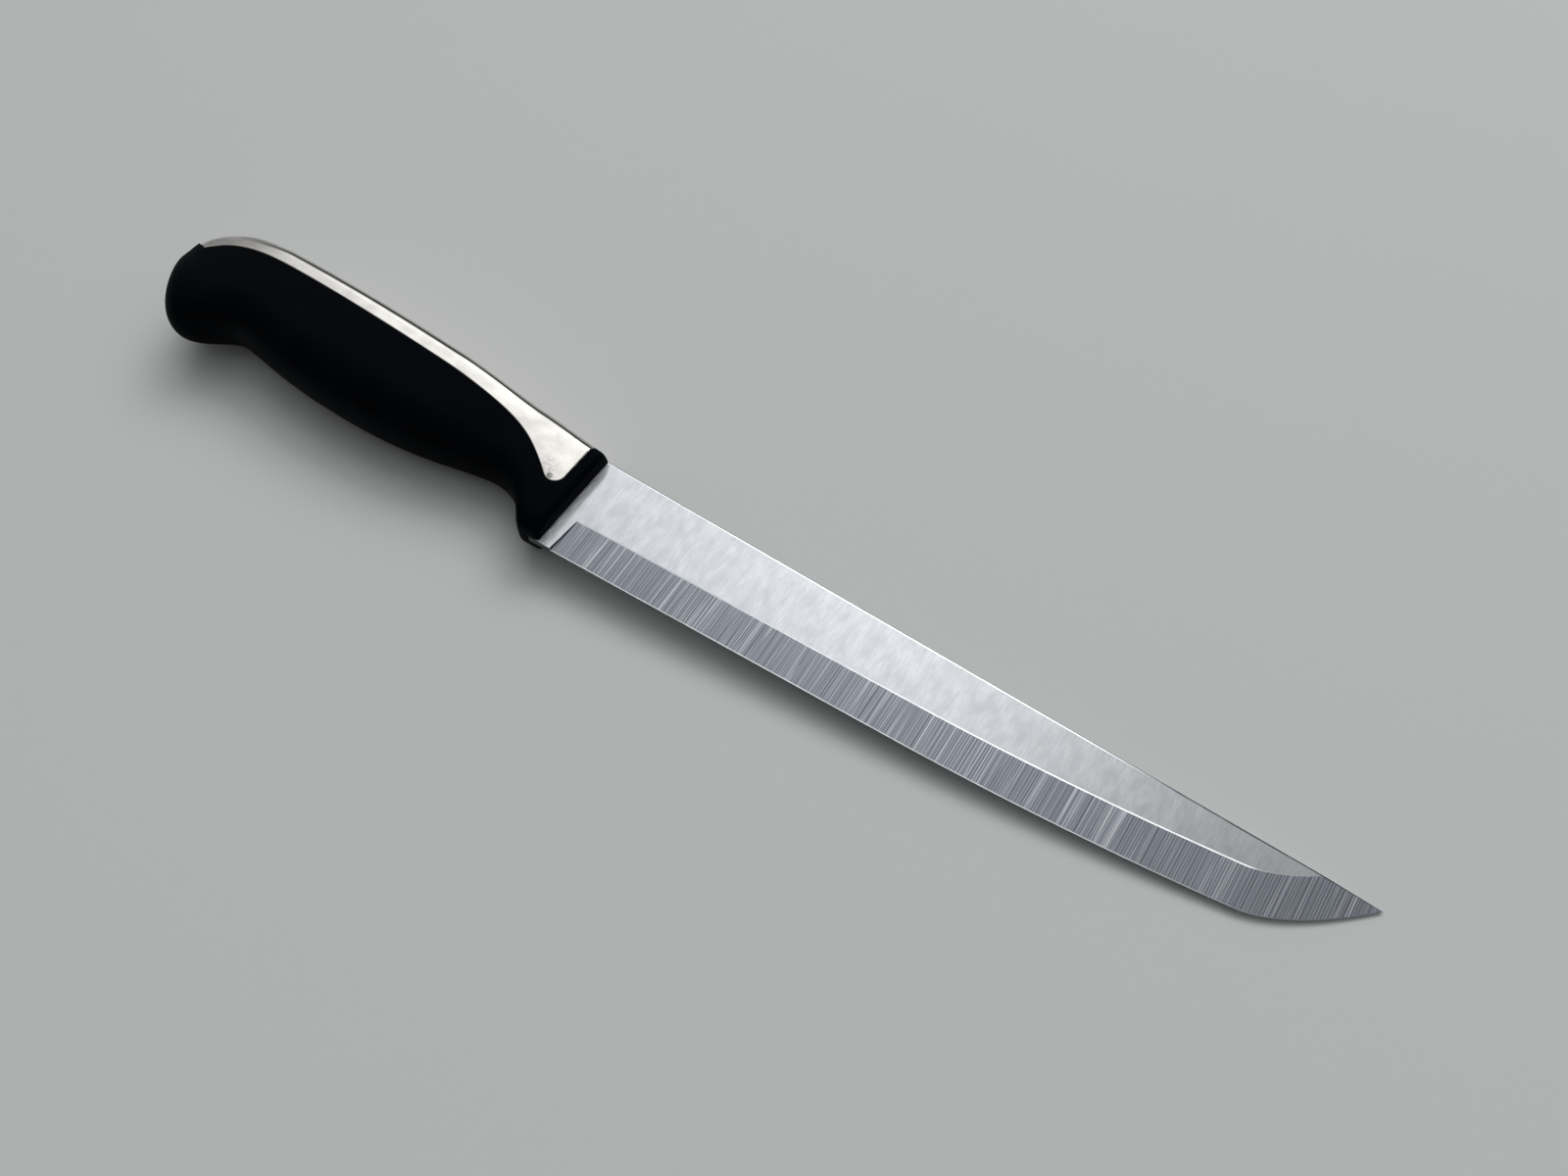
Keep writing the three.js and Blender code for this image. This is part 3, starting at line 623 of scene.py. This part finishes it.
def make_grip(finishes):
    edge, cut_start = strap_edge(SEAM_GAP)
    stations = strap_stations(edge)
    first, border = stations[0]
    rows = []
    for k in range(FRONT_STEPS):
        turn = math.pi / 2 * k / FRONT_STEPS
        insets = [inset * (1 - math.sin(turn)) for inset in FRONT_INSETS]
        station = FRONT_DEPTH * (1 - math.cos(turn)) - FRONT_PROUD
        rows.append(both_sides(half_ring(station, border, insets)))
    rows.insert(0, [Vector((p.x, p.y, 0)) for p in rows[0]])
    collar = [FRONT_DEPTH - FRONT_PROUD] + [first - d for d in reversed(NEAR_LIP[1:])]
    rows += [both_sides(half_ring(station, border)) for station in collar]
    opening_start = len(rows)
    rows += [both_sides(half_ring(*s)) for s in stations]
    opening_end = len(rows) - 1
    tail, top = stations[-1]
    for k in range(BUTT_ROWS):
        rows.append(both_sides(half_ring(tail + (HANDLE_LENGTH - tail) * (k + 1) / BUTT_ROWS, top)))
    columns = len(rows[0])
    grip = pressed_sheet("grip_soft_skin", rows, finishes)
    opening = [
        row * (columns - 1) + column
        for row in range(opening_start, opening_end)
        for column in range(BORDER_COLUMN, columns - 1 - BORDER_COLUMN)
    ]
    delete_faces(grip, opening)
    weld(grip)
    edge = edge[:len(stations)]
    seam, cut = seam_tree(front_line(edge), edge), seam_tree(edge[cut_start:])
    wall_with_lip(grip, GRIP_WALL, seam, GRIP_LIP, cut, LIP_PROUD, LIP_REACH)
    side = BLADE_HALF + SLOT_GAP
    slot_low = (-HEEL_INSET - COLLAR_GAP, -HEEL_HEIGHT, -side)
    carve(grip, block(slot_low, (HEEL_HEIGHT, SHOULDER_HEIGHT, side)))
    smooth_shade(grip, SKIN_CREASE)
    return grip


# Blade: sections square to the edge, each from the edge over the right side to the spine and back on the left

# The honed, burnished and rubbed bands carry painted highlights and shade, and the heel's under face an even
# painted shade.
SATIN, GROUND, BURNISH_HIGHLIGHT, HONE_LIGHT_AND_SHADE, RUB_LIGHT_AND_SHADE, UNDER_FACE_SHADE = range(6)
BANDS = (HONE_LIGHT_AND_SHADE, HONE_LIGHT_AND_SHADE, GROUND, BURNISH_HIGHLIGHT, SATIN, RUB_LIGHT_AND_SHADE, RUB_LIGHT_AND_SHADE, SATIN, SATIN)
PLAIN_BANDS = (UNDER_FACE_SHADE, SATIN, SATIN, SATIN, SATIN, RUB_LIGHT_AND_SHADE, RUB_LIGHT_AND_SHADE, SATIN, SATIN)


def side_half(distance, width, ground):
    """Blade's half thickness at a distance from the edge, with a bevel of this width where it is ground."""
    if not ground:
        return BLADE_HALF
    hone = BLADE_HALF * HONE_WIDTH / width + EDGE_HALF
    if distance < HONE_WIDTH:
        return EDGE_HALF + (hone - EDGE_HALF) * distance / HONE_WIDTH
    share = min(1, (distance - HONE_WIDTH) / (width - HONE_WIDTH))
    return hone + (BLADE_HALF - hone) * share


def blade_section(edge, inward, spine, width, ground, burnish=1):
    """Ring at a point of the edge, with the spine at this distance inward. Near the point, where the blade
    runs out, the spine's corner and its rubbed line shrink with the section."""
    spine = max(spine, 0)
    side = side_half(spine, width, ground)
    corner = min(SPINE_ROUND, side / 4, spine / 10)
    rub = min(SPINE_RUB, spine / 10)
    drop = SPINE_RUB_DROP * rub / SPINE_RUB
    flat_end = spine - corner - rub
    line = BURNISH_WIDTH * burnish
    burr = BURR * burnish if ground and width + line < flat_end else 0
    marks = [min(d, flat_end) for d in (0, HONE_WIDTH, width - line / 2, width + line / 2, flat_end)]
    right = [(0, 0)] + [(d, side_half(d, width, ground)) for d in marks]
    right[3] = (marks[2], right[3][1] + burr)
    side -= drop
    inset = SPINE_ROUND_MIDDLE * corner
    right += [(spine - corner, side), (spine - inset, side - inset), (spine, side - corner), (spine, 0)]
    if spine == 0:
        right = [(0, 0)] * len(right)
    return both_sides([Vector((*(edge + inward * d), half)) for d, half in right])


def spine_distance(edge, inward):
    return (HEEL_HEIGHT - LEAN * edge.x - edge.y) / (inward.y + LEAN * inward.x)


def plain_rows(leaning):
    """The heel inside the collar, and the ricasso up to the leaning line where the grinding starts."""
    upright = Vector((LEAN, 1)).normalized()
    ends = [(Vector((x, 0)), upright, SHOULDER_HEIGHT) for x in (-HEEL_INSET, COLLAR_GAP)]
    for x, inward in ((COLLAR_GAP, upright), (RICASSO_LENGTH, leaning)):
        edge = Vector((x, 0))
        ends.append((edge, inward, spine_distance(edge, inward)))
    rows = [blade_section(*end, BEVEL_WIDTH, False) for end in ends]
    rows.insert(0, [Vector((p.x, p.y, 0)) for p in rows[0]])
    return rows


def edge_lines():
    """Control points of the cutting edge: straight, then a slight rise, then the sweep up to the point."""
    rise_start, point = Vector((STRAIGHT_EDGE, 0)), Vector((BLADE_LENGTH, POINT_HEIGHT))
    sweep_start = Vector((BLADE_LENGTH - SWEEP_LENGTH, SWEEP_RISE))
    rise_middle = Vector(((rise_start.x + sweep_start.x) / 2, 0))
    sweep_slope = SWEEP_RISE / (sweep_start.x - rise_middle.x)
    sweep_middle = crossing(sweep_start, sweep_slope, point, math.tan(math.radians(POINT_ANGLE)))
    return {
        "straight": [Vector((RICASSO_LENGTH + PLUNGE_LENGTH, 0)), rise_start],
        "rise": [rise_start, rise_middle, sweep_start],
        "sweep": [sweep_start, sweep_middle, point],
    }


def tang_rows():
    rows = []
    for x, low, high in TANG_SECTIONS:
        corners = ((low, 0), (low, BLADE_HALF), (high, BLADE_HALF), (high, 0))
        rows.append(both_sides([Vector((x, y, z)) for y, z in corners]))
    ends = [[Vector((p.x, p.y, 0)) for p in row] for row in (rows[0], rows[-1])]
    return [ends[0], *rows, ends[1]]


def make_blade(finishes):
    leaning = Vector((LEAN + PLUNGE_LEAN, 1)).normalized()
    rows = plain_rows(leaning)
    plain_count = len(rows)
    for name, line in edge_lines().items():
        for k in range(BLADE_STEPS[name] + (name == "sweep")):
            share = k / BLADE_STEPS[name]
            edge = bezier(line, share)
            ahead = (bezier(line, min(1, share + SMALL)) - bezier(line, max(0, share - SMALL))).normalized()
            inward = Vector((-ahead.y, ahead.x)) if len(rows) > plain_count else leaning
            swept = share if name == "sweep" else 0
            width = BEVEL_WIDTH * (1 - TIP_NARROWING * smooth(swept))
            burnish = 1 - BURNISH_LOSS * smooth(swept / BURNISH_FADE)
            rows.append(blade_section(edge, inward, spine_distance(edge, inward), width, True, burnish))
    blade = pressed_sheet("blade_ground_steel", rows, finishes)
    columns = len(rows[0]) - 1
    for polygon in blade.data.polygons:
        row, column = divmod(polygon.index, columns)
        bands = BANDS if row >= plain_count - 1 else PLAIN_BANDS
        polygon.material_index = bands[min(column, columns - 1 - column)]
    weld(blade, outwards=True)
    tang = pressed_sheet("tang", tang_rows(), finishes)
    weld(tang, outwards=True)
    carve(blade, tang, "UNION")
    carve(blade, cross_pin(PIN_RADIUS + PIN_GAP, PIN_PLACE.x, PIN_PLACE.y, BELLY_HALF))
    for x, y in RIVET_PLACES:
        carve(blade, cross_pin(RIVET_HOLE / 2, x, y, BELLY_HALF))
    smooth_shade(blade, BLADE_CREASE)
    return blade


# Strap pin, as long as the handle is thick there

def make_pin(finishes):
    outline = [p for p in half_ring(-PIN_PLACE.x, 0) if p.z >= PIN_RADIUS]
    side = min(outline, key=lambda p: abs(p.y - PIN_PLACE.y)).z
    pin = cross_pin(PIN_RADIUS, PIN_PLACE.x, PIN_PLACE.y, side - PIN_SINK)
    pin.name = pin.data.name = "strap_pin_flush"
    pin.data.materials.append(finishes[0])
    modify(pin, "BEVEL", width=PIN_ROUND * MM, segments=PIN_ROUND_STEPS, limit_method="ANGLE")
    smooth_shade(pin, PIN_CREASE)
    return pin


# Materials. A Mix node's sockets share their names, so they go by number: for colours, then for plain values.

FACTOR, SHADE_A, SHADE_B, SHADE = 0, 6, 7, 2
VALUE_A, VALUE_B, VALUE = 2, 3, 0


def linear(code):
    """Linear colour of an sRGB hex value."""
    channels = [int(code[i:i + 2], 16) / 255 for i in (1, 3, 5)]
    return [c / 12.92 if c <= 0.04045 else ((c + 0.055) / 1.055) ** 2.4 for c in channels] + [1]


def add(tree, kind, output, inputs, **settings):
    """Adds a node with its settings, and its inputs as values or links. Gives one of its outputs."""
    node = tree.nodes.new(kind)
    for key, value in settings.items():
        setattr(node, key, value)
    for key, value in inputs.items():
        if isinstance(value, bpy.types.NodeSocket):
            tree.links.new(value, node.inputs[key])
        else:
            node.inputs[key].default_value = value
    return node.outputs[output]


def mm(*sizes):
    return [size * MM for size in sizes]


def finish(name, shader_values):
    """A new material with these values on its shader, and its tree and object coordinates for a pattern."""
    material = bpy.data.materials.new(name)
    material.use_nodes = True
    tree = material.node_tree
    for key, value in shader_values.items():
        tree.nodes["Principled BSDF"].inputs[key].default_value = value
    return material, tree, add(tree, "ShaderNodeTexCoord", "Object", {})


def drive(tree, **patterns):
    """Links patterns to the shader's inputs of the same names."""
    for key, value in patterns.items():
        tree.links.new(value, tree.nodes["Principled BSDF"].inputs[key.replace("_", " ")])


# Stainless sheet, satin polished: pale, softly clouded, with faint marks square to the edge, and duller
# beside the collar, where the polishing wheel stops; there it is also painted lighter, as painted light
# against the collar's shade and dark reflection
def satin_stainless():
    material, tree, place = finish("stainless_sheet_satin_polished", {"Metallic": 1})
    stretch = {"Vector": place, "Rotation": LINE_TURN, "Scale": mm(0.25, 3, 3)}
    along = add(tree, "ShaderNodeMapping", 0, stretch, vector_type="TEXTURE")
    marks = add(tree, "ShaderNodeTexNoise", 0, {"Vector": along, "Scale": 1, "Detail": 3})
    stretch = {"Vector": place, "Rotation": LINE_TURN, "Scale": mm(3, 5.5, 5.5)}
    patch = add(tree, "ShaderNodeMapping", 0, stretch, vector_type="TEXTURE")
    clouds = add(tree, "ShaderNodeTexNoise", 0, {"Vector": patch, "Scale": 1, "Detail": 5})
    cloudy = add(tree, "ShaderNodeMapRange", 0, {"Value": clouds, "From Min": 0.32, "From Max": 0.62})
    shades = {SHADE_A: linear("#acadaf"), SHADE_B: linear("#bcbdbf")}
    tone = add(tree, "ShaderNodeMix", SHADE, {FACTOR: cloudy, **shades}, data_type="RGBA")
    limits = {"From Min": 0.42, "From Max": 0.7, "To Max": 0.62}
    streaky = add(tree, "ShaderNodeMapRange", 0, {"Value": marks, **limits})
    shades = {SHADE_A: tone, SHADE_B: linear("#a3a5a8")}
    tone = add(tree, "ShaderNodeMix", SHADE, {FACTOR: streaky, **shades}, data_type="RGBA")
    x = add(tree, "ShaderNodeSeparateXYZ", "X", {"Vector": place})
    dull_end, polished = (at(distance, 0, 0).x for distance in DULL_BAND)
    beside = add(tree, "ShaderNodeMapRange", 0, {"Value": x, "From Min": polished, "From Max": dull_end})
    worn = add(tree, "ShaderNodeMapRange", 0, {"Value": marks, "From Min": 0.35, "From Max": 0.65})
    dull_lightening = add(tree, "ShaderNodeMath", 0, {0: beside, 1: worn}, operation="MULTIPLY")
    # Painted light: beside the collar the colour is lifted to near white, against the collar's shade and dark
    # reflection.
    shades = {SHADE_A: tone, SHADE_B: linear("#eff0f1")}
    tone = add(tree, "ShaderNodeMix", SHADE, {FACTOR: dull_lightening, **shades}, data_type="RGBA")
    rough = add(tree, "ShaderNodeMapRange", 0, {"Value": beside, "To Min": 0.22, "To Max": 0.6})
    bump = add(tree, "ShaderNodeBump", 0, {"Strength": 0.1, "Distance": 0.01 * MM, "Height": marks})
    drive(tree, Base_Color=tone, Roughness=rough, Normal=bump)
    return material


# Stainless steel off a coarse belt: dull blue grey, with close lines from the edge to the flat that come and
# go in groups, and a few bright scratches. A 0.05 mm scratch would not show, so the lines are about 0.3 mm
def ground_stainless():
    material, tree, place = finish("stainless_steel_belt_ground", {"Metallic": 1, "Roughness": 0.3})
    stretch = {"Vector": place, "Rotation": LINE_TURN, "Scale": mm(6, 60, 60)}
    wide = add(tree, "ShaderNodeMapping", 0, stretch, vector_type="TEXTURE")
    passes = add(tree, "ShaderNodeTexNoise", 0, {"Vector": wide, "Scale": 1, "Detail": 3})
    stretch = {"Vector": place, "Rotation": LINE_TURN, "Scale": mm(0.62, 60, 60)}
    across = add(tree, "ShaderNodeMapping", 0, stretch, vector_type="TEXTURE")
    spacing = {"Scale": math.pi / 10, "Distortion": 6, "Detail": 1, "Detail Scale": 2}
    grooves = add(tree, "ShaderNodeTexWave", 1, {"Vector": across, **spacing})
    limits = {"From Min": 0.35, "From Max": 0.6, "To Min": 0.55}
    strength = add(tree, "ShaderNodeMapRange", 0, {"Value": passes, **limits})
    lines = add(tree, "ShaderNodeMix", VALUE, {FACTOR: strength, VALUE_A: 0.4, VALUE_B: grooves})
    shades = {SHADE_A: linear("#72777f"), SHADE_B: linear("#b3b7bf")}
    tone = add(tree, "ShaderNodeMix", SHADE, {FACTOR: lines, **shades}, data_type="RGBA")
    stretch = {"Vector": place, "Rotation": LINE_TURN, "Scale": mm(0.2, 26, 26)}
    long = add(tree, "ShaderNodeMapping", 0, stretch, vector_type="TEXTURE")
    scratches = add(tree, "ShaderNodeTexNoise", 0, {"Vector": long, "Scale": 1, "Detail": 0})
    grouped = add(tree, "ShaderNodeMath", 0, {0: passes, 1: 0.5, 2: scratches}, operation="MULTIPLY_ADD")
    limits = {"From Min": 0.9, "From Max": 1, "To Max": 0.6}
    bright = add(tree, "ShaderNodeMapRange", 0, {"Value": grouped, **limits})
    shades = {SHADE_A: tone, SHADE_B: linear("#eef0f4")}
    tone = add(tree, "ShaderNodeMix", SHADE, {FACTOR: bright, **shades}, data_type="RGBA")
    bump = add(tree, "ShaderNodeBump", 0, {"Strength": 0.1, "Distance": 0.01 * MM, "Height": lines})
    drive(tree, Base_Color=tone, Normal=bump)
    return material


# Stainless steel of narrow edges and corners, honed, burnished, rubbed, stamped or ground flush: an even
# sheen with a few dull nicks. Its tone changes along the blade, through colours at distances from the collar,
# and those colours hold painted light: painted highlights where a line catches the light, painted shade
# where it falls dark, and an even painted shade on the heel's under face and on the pin
def edge_stainless(name, roughness, tones):
    material, tree, place = finish(name, {"Metallic": 1, "Roughness": roughness})
    x = add(tree, "ShaderNodeSeparateXYZ", "X", {"Vector": place})
    limits = {"From Min": at(0, 0, 0).x, "From Max": at(BLADE_LENGTH, 0, 0).x}
    along = add(tree, "ShaderNodeMapRange", 0, {"Value": x, **limits})
    tone = add(tree, "ShaderNodeValToRGB", 0, {0: along})
    elements = tone.node.color_ramp.elements
    while len(elements) < len(tones):
        elements.new(1)
    for element, (distance, colour) in zip(elements, tones):
        element.position = distance / BLADE_LENGTH
        element.color = linear(colour)
    stretch = {"Vector": place, "Scale": mm(3, 0.6, 0.6)}
    run = add(tree, "ShaderNodeMapping", 0, stretch, vector_type="TEXTURE")
    rub = add(tree, "ShaderNodeTexNoise", 0, {"Vector": run, "Scale": 1, "Detail": 2})
    limits = {"From Min": 0.4, "From Max": 0.7, "To Max": 0.35}
    nicked = add(tree, "ShaderNodeMapRange", 0, {"Value": rub, **limits})
    shades = {SHADE_A: tone, SHADE_B: linear("#85878b")}
    tone = add(tree, "ShaderNodeMix", SHADE, {FACTOR: nicked, **shades}, data_type="RGBA")
    drive(tree, Base_Color=tone)
    return material


# Pressed stainless strap, fine satin with handling smudges: warm and bright, with a speckled darker grey
# patch on the lobe near the pin
def strap_stainless():
    material, tree, place = finish("stainless_strap_fine_satin", {"Metallic": 1})
    stretch = {"Vector": place, "Scale": mm(5, 3.5, 3.5)}
    patch = add(tree, "ShaderNodeMapping", 0, stretch, vector_type="TEXTURE")
    smudges = add(tree, "ShaderNodeTexNoise", 0, {"Vector": patch, "Scale": 1, "Detail": 6})
    smudged = add(tree, "ShaderNodeMapRange", 0, {"Value": smudges, "From Min": 0.36, "From Max": 0.66})
    shades = {SHADE_A: linear("#d1cec8"), SHADE_B: linear("#bfbcb7")}
    tone = add(tree, "ShaderNodeMix", SHADE, {FACTOR: smudged, **shades}, data_type="RGBA")
    stretch = {"Vector": place, "Scale": mm(1, 0.7, 0.7)}
    dot = add(tree, "ShaderNodeMapping", 0, stretch, vector_type="TEXTURE")
    specks = add(tree, "ShaderNodeTexNoise", 0, {"Vector": dot, "Scale": 1, "Detail": 2})
    limits = {"From Min": 0.4, "From Max": 0.65, "To Min": 0.25, "To Max": 0.8}
    speckled = add(tree, "ShaderNodeMapRange", 0, {"Value": specks, **limits})
    # A speckled darker grey towards a spot low on the lobe, near the pin.
    spot = at(DARK_PATCH_PLACE.x, DARK_PATCH_PLACE.y, COLLAR_HALF)
    away = add(tree, "ShaderNodeVectorMath", "Value", {0: place, 1: spot}, operation="DISTANCE")
    dark_core, dark_end = mm(*DARK_PATCH_REACH)
    limits = {"From Min": dark_end, "From Max": dark_core, "To Min": 0.05}
    near = add(tree, "ShaderNodeMapRange", 0, {"Value": away, **limits})
    darkened = add(tree, "ShaderNodeMath", 0, {0: near, 1: speckled}, operation="MULTIPLY")
    shades = {SHADE_A: tone, SHADE_B: linear("#8d8b88")}
    tone = add(tree, "ShaderNodeMix", SHADE, {FACTOR: darkened, **shades}, data_type="RGBA")
    rough = add(tree, "ShaderNodeMapRange", 0, {"Value": smudges, "To Min": 0.09, "To Max": 0.15})
    bump = add(tree, "ShaderNodeBump", 0, {"Strength": 0.08, "Distance": 0.01 * MM, "Height": smudges})
    drive(tree, Base_Color=tone, Roughness=rough, Normal=bump)
    return material


# Thermoplastic rubber, moulded soft-touch: deep blue black, matt, with a skin of fine grain. Real grain of
# about 0.08 mm would not show, so it is drawn at 0.25 mm
def soft_rubber():
    sheen = {"Specular IOR Level": 0.04, "Specular Tint": linear("#a9bdd6")}
    material, tree, place = finish("thermoplastic_rubber_soft_touch", sheen)
    stretch = {"Vector": place, "Scale": mm(0.25, 0.25, 0.25)}
    fine = add(tree, "ShaderNodeMapping", 0, stretch, vector_type="TEXTURE")
    skin = add(tree, "ShaderNodeTexNoise", 0, {"Vector": fine, "Scale": 1, "Detail": 3})
    stretch = {"Vector": place, "Scale": mm(14, 9, 9)}
    patch = add(tree, "ShaderNodeMapping", 0, stretch, vector_type="TEXTURE")
    wear = add(tree, "ShaderNodeTexNoise", 0, {"Vector": patch, "Scale": 1, "Detail": 3})
    handled = add(tree, "ShaderNodeMapRange", 0, {"Value": wear, "From Min": 0.35, "From Max": 0.7})
    shades = {SHADE_A: linear("#020406"), SHADE_B: linear("#05080c")}
    tone = add(tree, "ShaderNodeMix", SHADE, {FACTOR: handled, **shades}, data_type="RGBA")
    rough = add(tree, "ShaderNodeMapRange", 0, {"Value": wear, "To Min": 0.5, "To Max": 0.7})
    bump = add(tree, "ShaderNodeBump", 0, {"Strength": 0.25, "Distance": 0.03 * MM, "Height": skin})
    drive(tree, Base_Color=tone, Roughness=rough, Normal=bump)
    return material


# Moulded polypropylene of the hidden core: dark grey with flow clouds
def core_polypropylene():
    material, tree, place = finish("polypropylene_core_moulded", {"Roughness": 0.5})
    stretch = {"Vector": place, "Scale": mm(12, 4, 4)}
    flow = add(tree, "ShaderNodeMapping", 0, stretch, vector_type="TEXTURE")
    clouds = add(tree, "ShaderNodeTexNoise", 0, {"Vector": flow, "Scale": 1, "Detail": 3})
    shades = {SHADE_A: linear("#1d1f23"), SHADE_B: linear("#2b2d32")}
    tone = add(tree, "ShaderNodeMix", SHADE, {FACTOR: clouds, **shades}, data_type="RGBA")
    drive(tree, Base_Color=tone)
    return material


# Stage

def make_camera():
    data = bpy.data.cameras.new("camera")
    data.sensor_width = CAMERA_SENSOR
    data.lens = CAMERA_LENS
    data.clip_start = CAMERA_CLIP
    camera = bpy.data.objects.new("camera", data)
    right, up, forward = (Vector(v).normalized() for v in CAMERA_AXES)
    turned = Matrix((right, up, -forward)).transposed().to_4x4()
    camera.matrix_world = Matrix.Translation(at(*CAMERA_PLACE)) @ turned
    bpy.context.scene.collection.objects.link(camera)
    bpy.context.scene.camera = camera


def make_floor():
    """The table under the knife, which lies on its flank with the tip tilted down to it."""
    flank, tip = at(BELLY.x + FLANK_REACH, 0, -BELLY_HALF), at(FLOOR_TIP.x, 0, FLOOR_TIP.y)
    slope = math.atan((tip.z - flank.z) / (tip.x - flank.x))
    deselect()
    bpy.ops.mesh.primitive_plane_add(size=FLOOR_SIZE, location=flank, rotation=(0, -slope, 0))
    floor = bpy.context.object
    floor.name = "floor"
    values = {"Base Color": linear("#ecedeb"), "Roughness": 0.9, "Specular IOR Level": 0.1}
    floor.data.materials.append(finish("plain_matt_floor", values)[0])


def make_lights():
    """Sky that is bright high on the far side, softer overhead and at the far left, over a dim room, and one
    softbox on the far side."""
    world = bpy.data.worlds.new("soft_studio")
    bpy.context.scene.world = world
    world.use_nodes = True
    tree = world.node_tree
    direction = add(tree, "ShaderNodeTexCoord", "Generated", {})
    x, y, z = add(tree, "ShaderNodeSeparateXYZ", "X", {"Vector": direction}).node.outputs
    fades = []
    for value, (start, end), start_level, end_level in (
        (y, FAR_FADE, 0, 1),
        (x, RIGHT_FADE, RIGHT_LEVEL, 1),
        (x, LEFT_FADE, LEFT_LEVEL, 1),
        (z, LOW_FADE, 0, 1),
        (z, ZENITH_FADE, 0, ZENITH_LEVEL),
        (x, EDGE_FADE, 0, EDGE_LEVEL),
        (z, ROOM_FADE, *ROOM_LEVELS),
    ):
        limits = {"From Min": start, "From Max": end, "To Min": start_level, "To Max": end_level}
        fades.append(add(tree, "ShaderNodeMapRange", 0, {"Value": value, **limits}))
    far, right, left, low, zenith, edge, room = fades
    lit = far
    for fade in (right, left, low):
        lit = add(tree, "ShaderNodeMath", 0, {0: lit, 1: fade}, operation="MULTIPLY")
    sky = add(tree, "ShaderNodeMath", 0, {0: lit, 1: SKY_LEVEL, 2: zenith}, operation="MULTIPLY_ADD")
    sky = add(tree, "ShaderNodeMath", 0, {0: far, 1: edge, 2: sky}, operation="MULTIPLY_ADD")
    sky = add(tree, "ShaderNodeMath", 0, {0: sky, 1: room}, operation="ADD")
    background = tree.nodes["Background"]
    background.inputs["Color"].default_value = SKY_TINT
    tree.links.new(sky, background.inputs["Strength"])
    lamp_data = bpy.data.lights.new("softbox", "AREA")
    lamp_data.shape = "RECTANGLE"
    lamp_data.size, lamp_data.size_y = LAMP_SIZE
    lamp_data.energy = LAMP_RADIANCE * math.pi * LAMP_SIZE[0] * LAMP_SIZE[1]
    lamp = bpy.data.objects.new("softbox", lamp_data)
    lamp.location = at(*LAMP_PLACE)
    lamp.rotation_euler = Vector(LAMP_PLACE).to_track_quat("Z", "Y").to_euler()
    bpy.context.scene.collection.objects.link(lamp)


make_camera()
make_floor()
make_lights()

blade_finishes = (
    satin_stainless(),
    ground_stainless(),
    edge_stainless("stainless_steel_burnished_painted_highlight", 0.45, BURNISH_HIGHLIGHT_TONES),
    edge_stainless("stainless_steel_honed_painted_highlight_and_shade", 0.25, HONE_LIGHT_AND_SHADE_TONES),
    edge_stainless("stainless_spine_rubbed_painted_highlight_and_shade", 0.2, RUB_LIGHT_AND_SHADE_TONES),
    edge_stainless("stainless_sheet_under_face_painted_shade", 0.5, UNDER_FACE_SHADE_TONES),
)
# The pin's steel, painted darker as painted shade, also colours the hidden tang rivets.
pin_steel = edge_stainless("stainless_pin_ground_flush_painted_shade", 0.35, PIN_SHADE_TONES)
core_plastic = core_polypropylene()

for make, finishes, node, slot in (
    (make_blade, blade_finishes, "blade", "blade_steel"),
    (make_strap, (strap_stainless(),), "back_strap", "strap_steel"),
    (make_grip, (soft_rubber(),), "grip", "soft_grip"),
    (make_pin, (pin_steel,), "strap_pin", "pin_steel"),
):
    piece = make(finishes)
    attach(piece, "root")
    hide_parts(node)

for name, material in (
    ("core_right", core_plastic),
    ("core_left", core_plastic),
    ("tang_rivet_front", pin_steel),
    ("tang_rivet_rear", pin_steel),
):
    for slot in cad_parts[name].material_slots:
        slot.material = material

bpy.context.scene.view_settings.view_transform = "Standard"
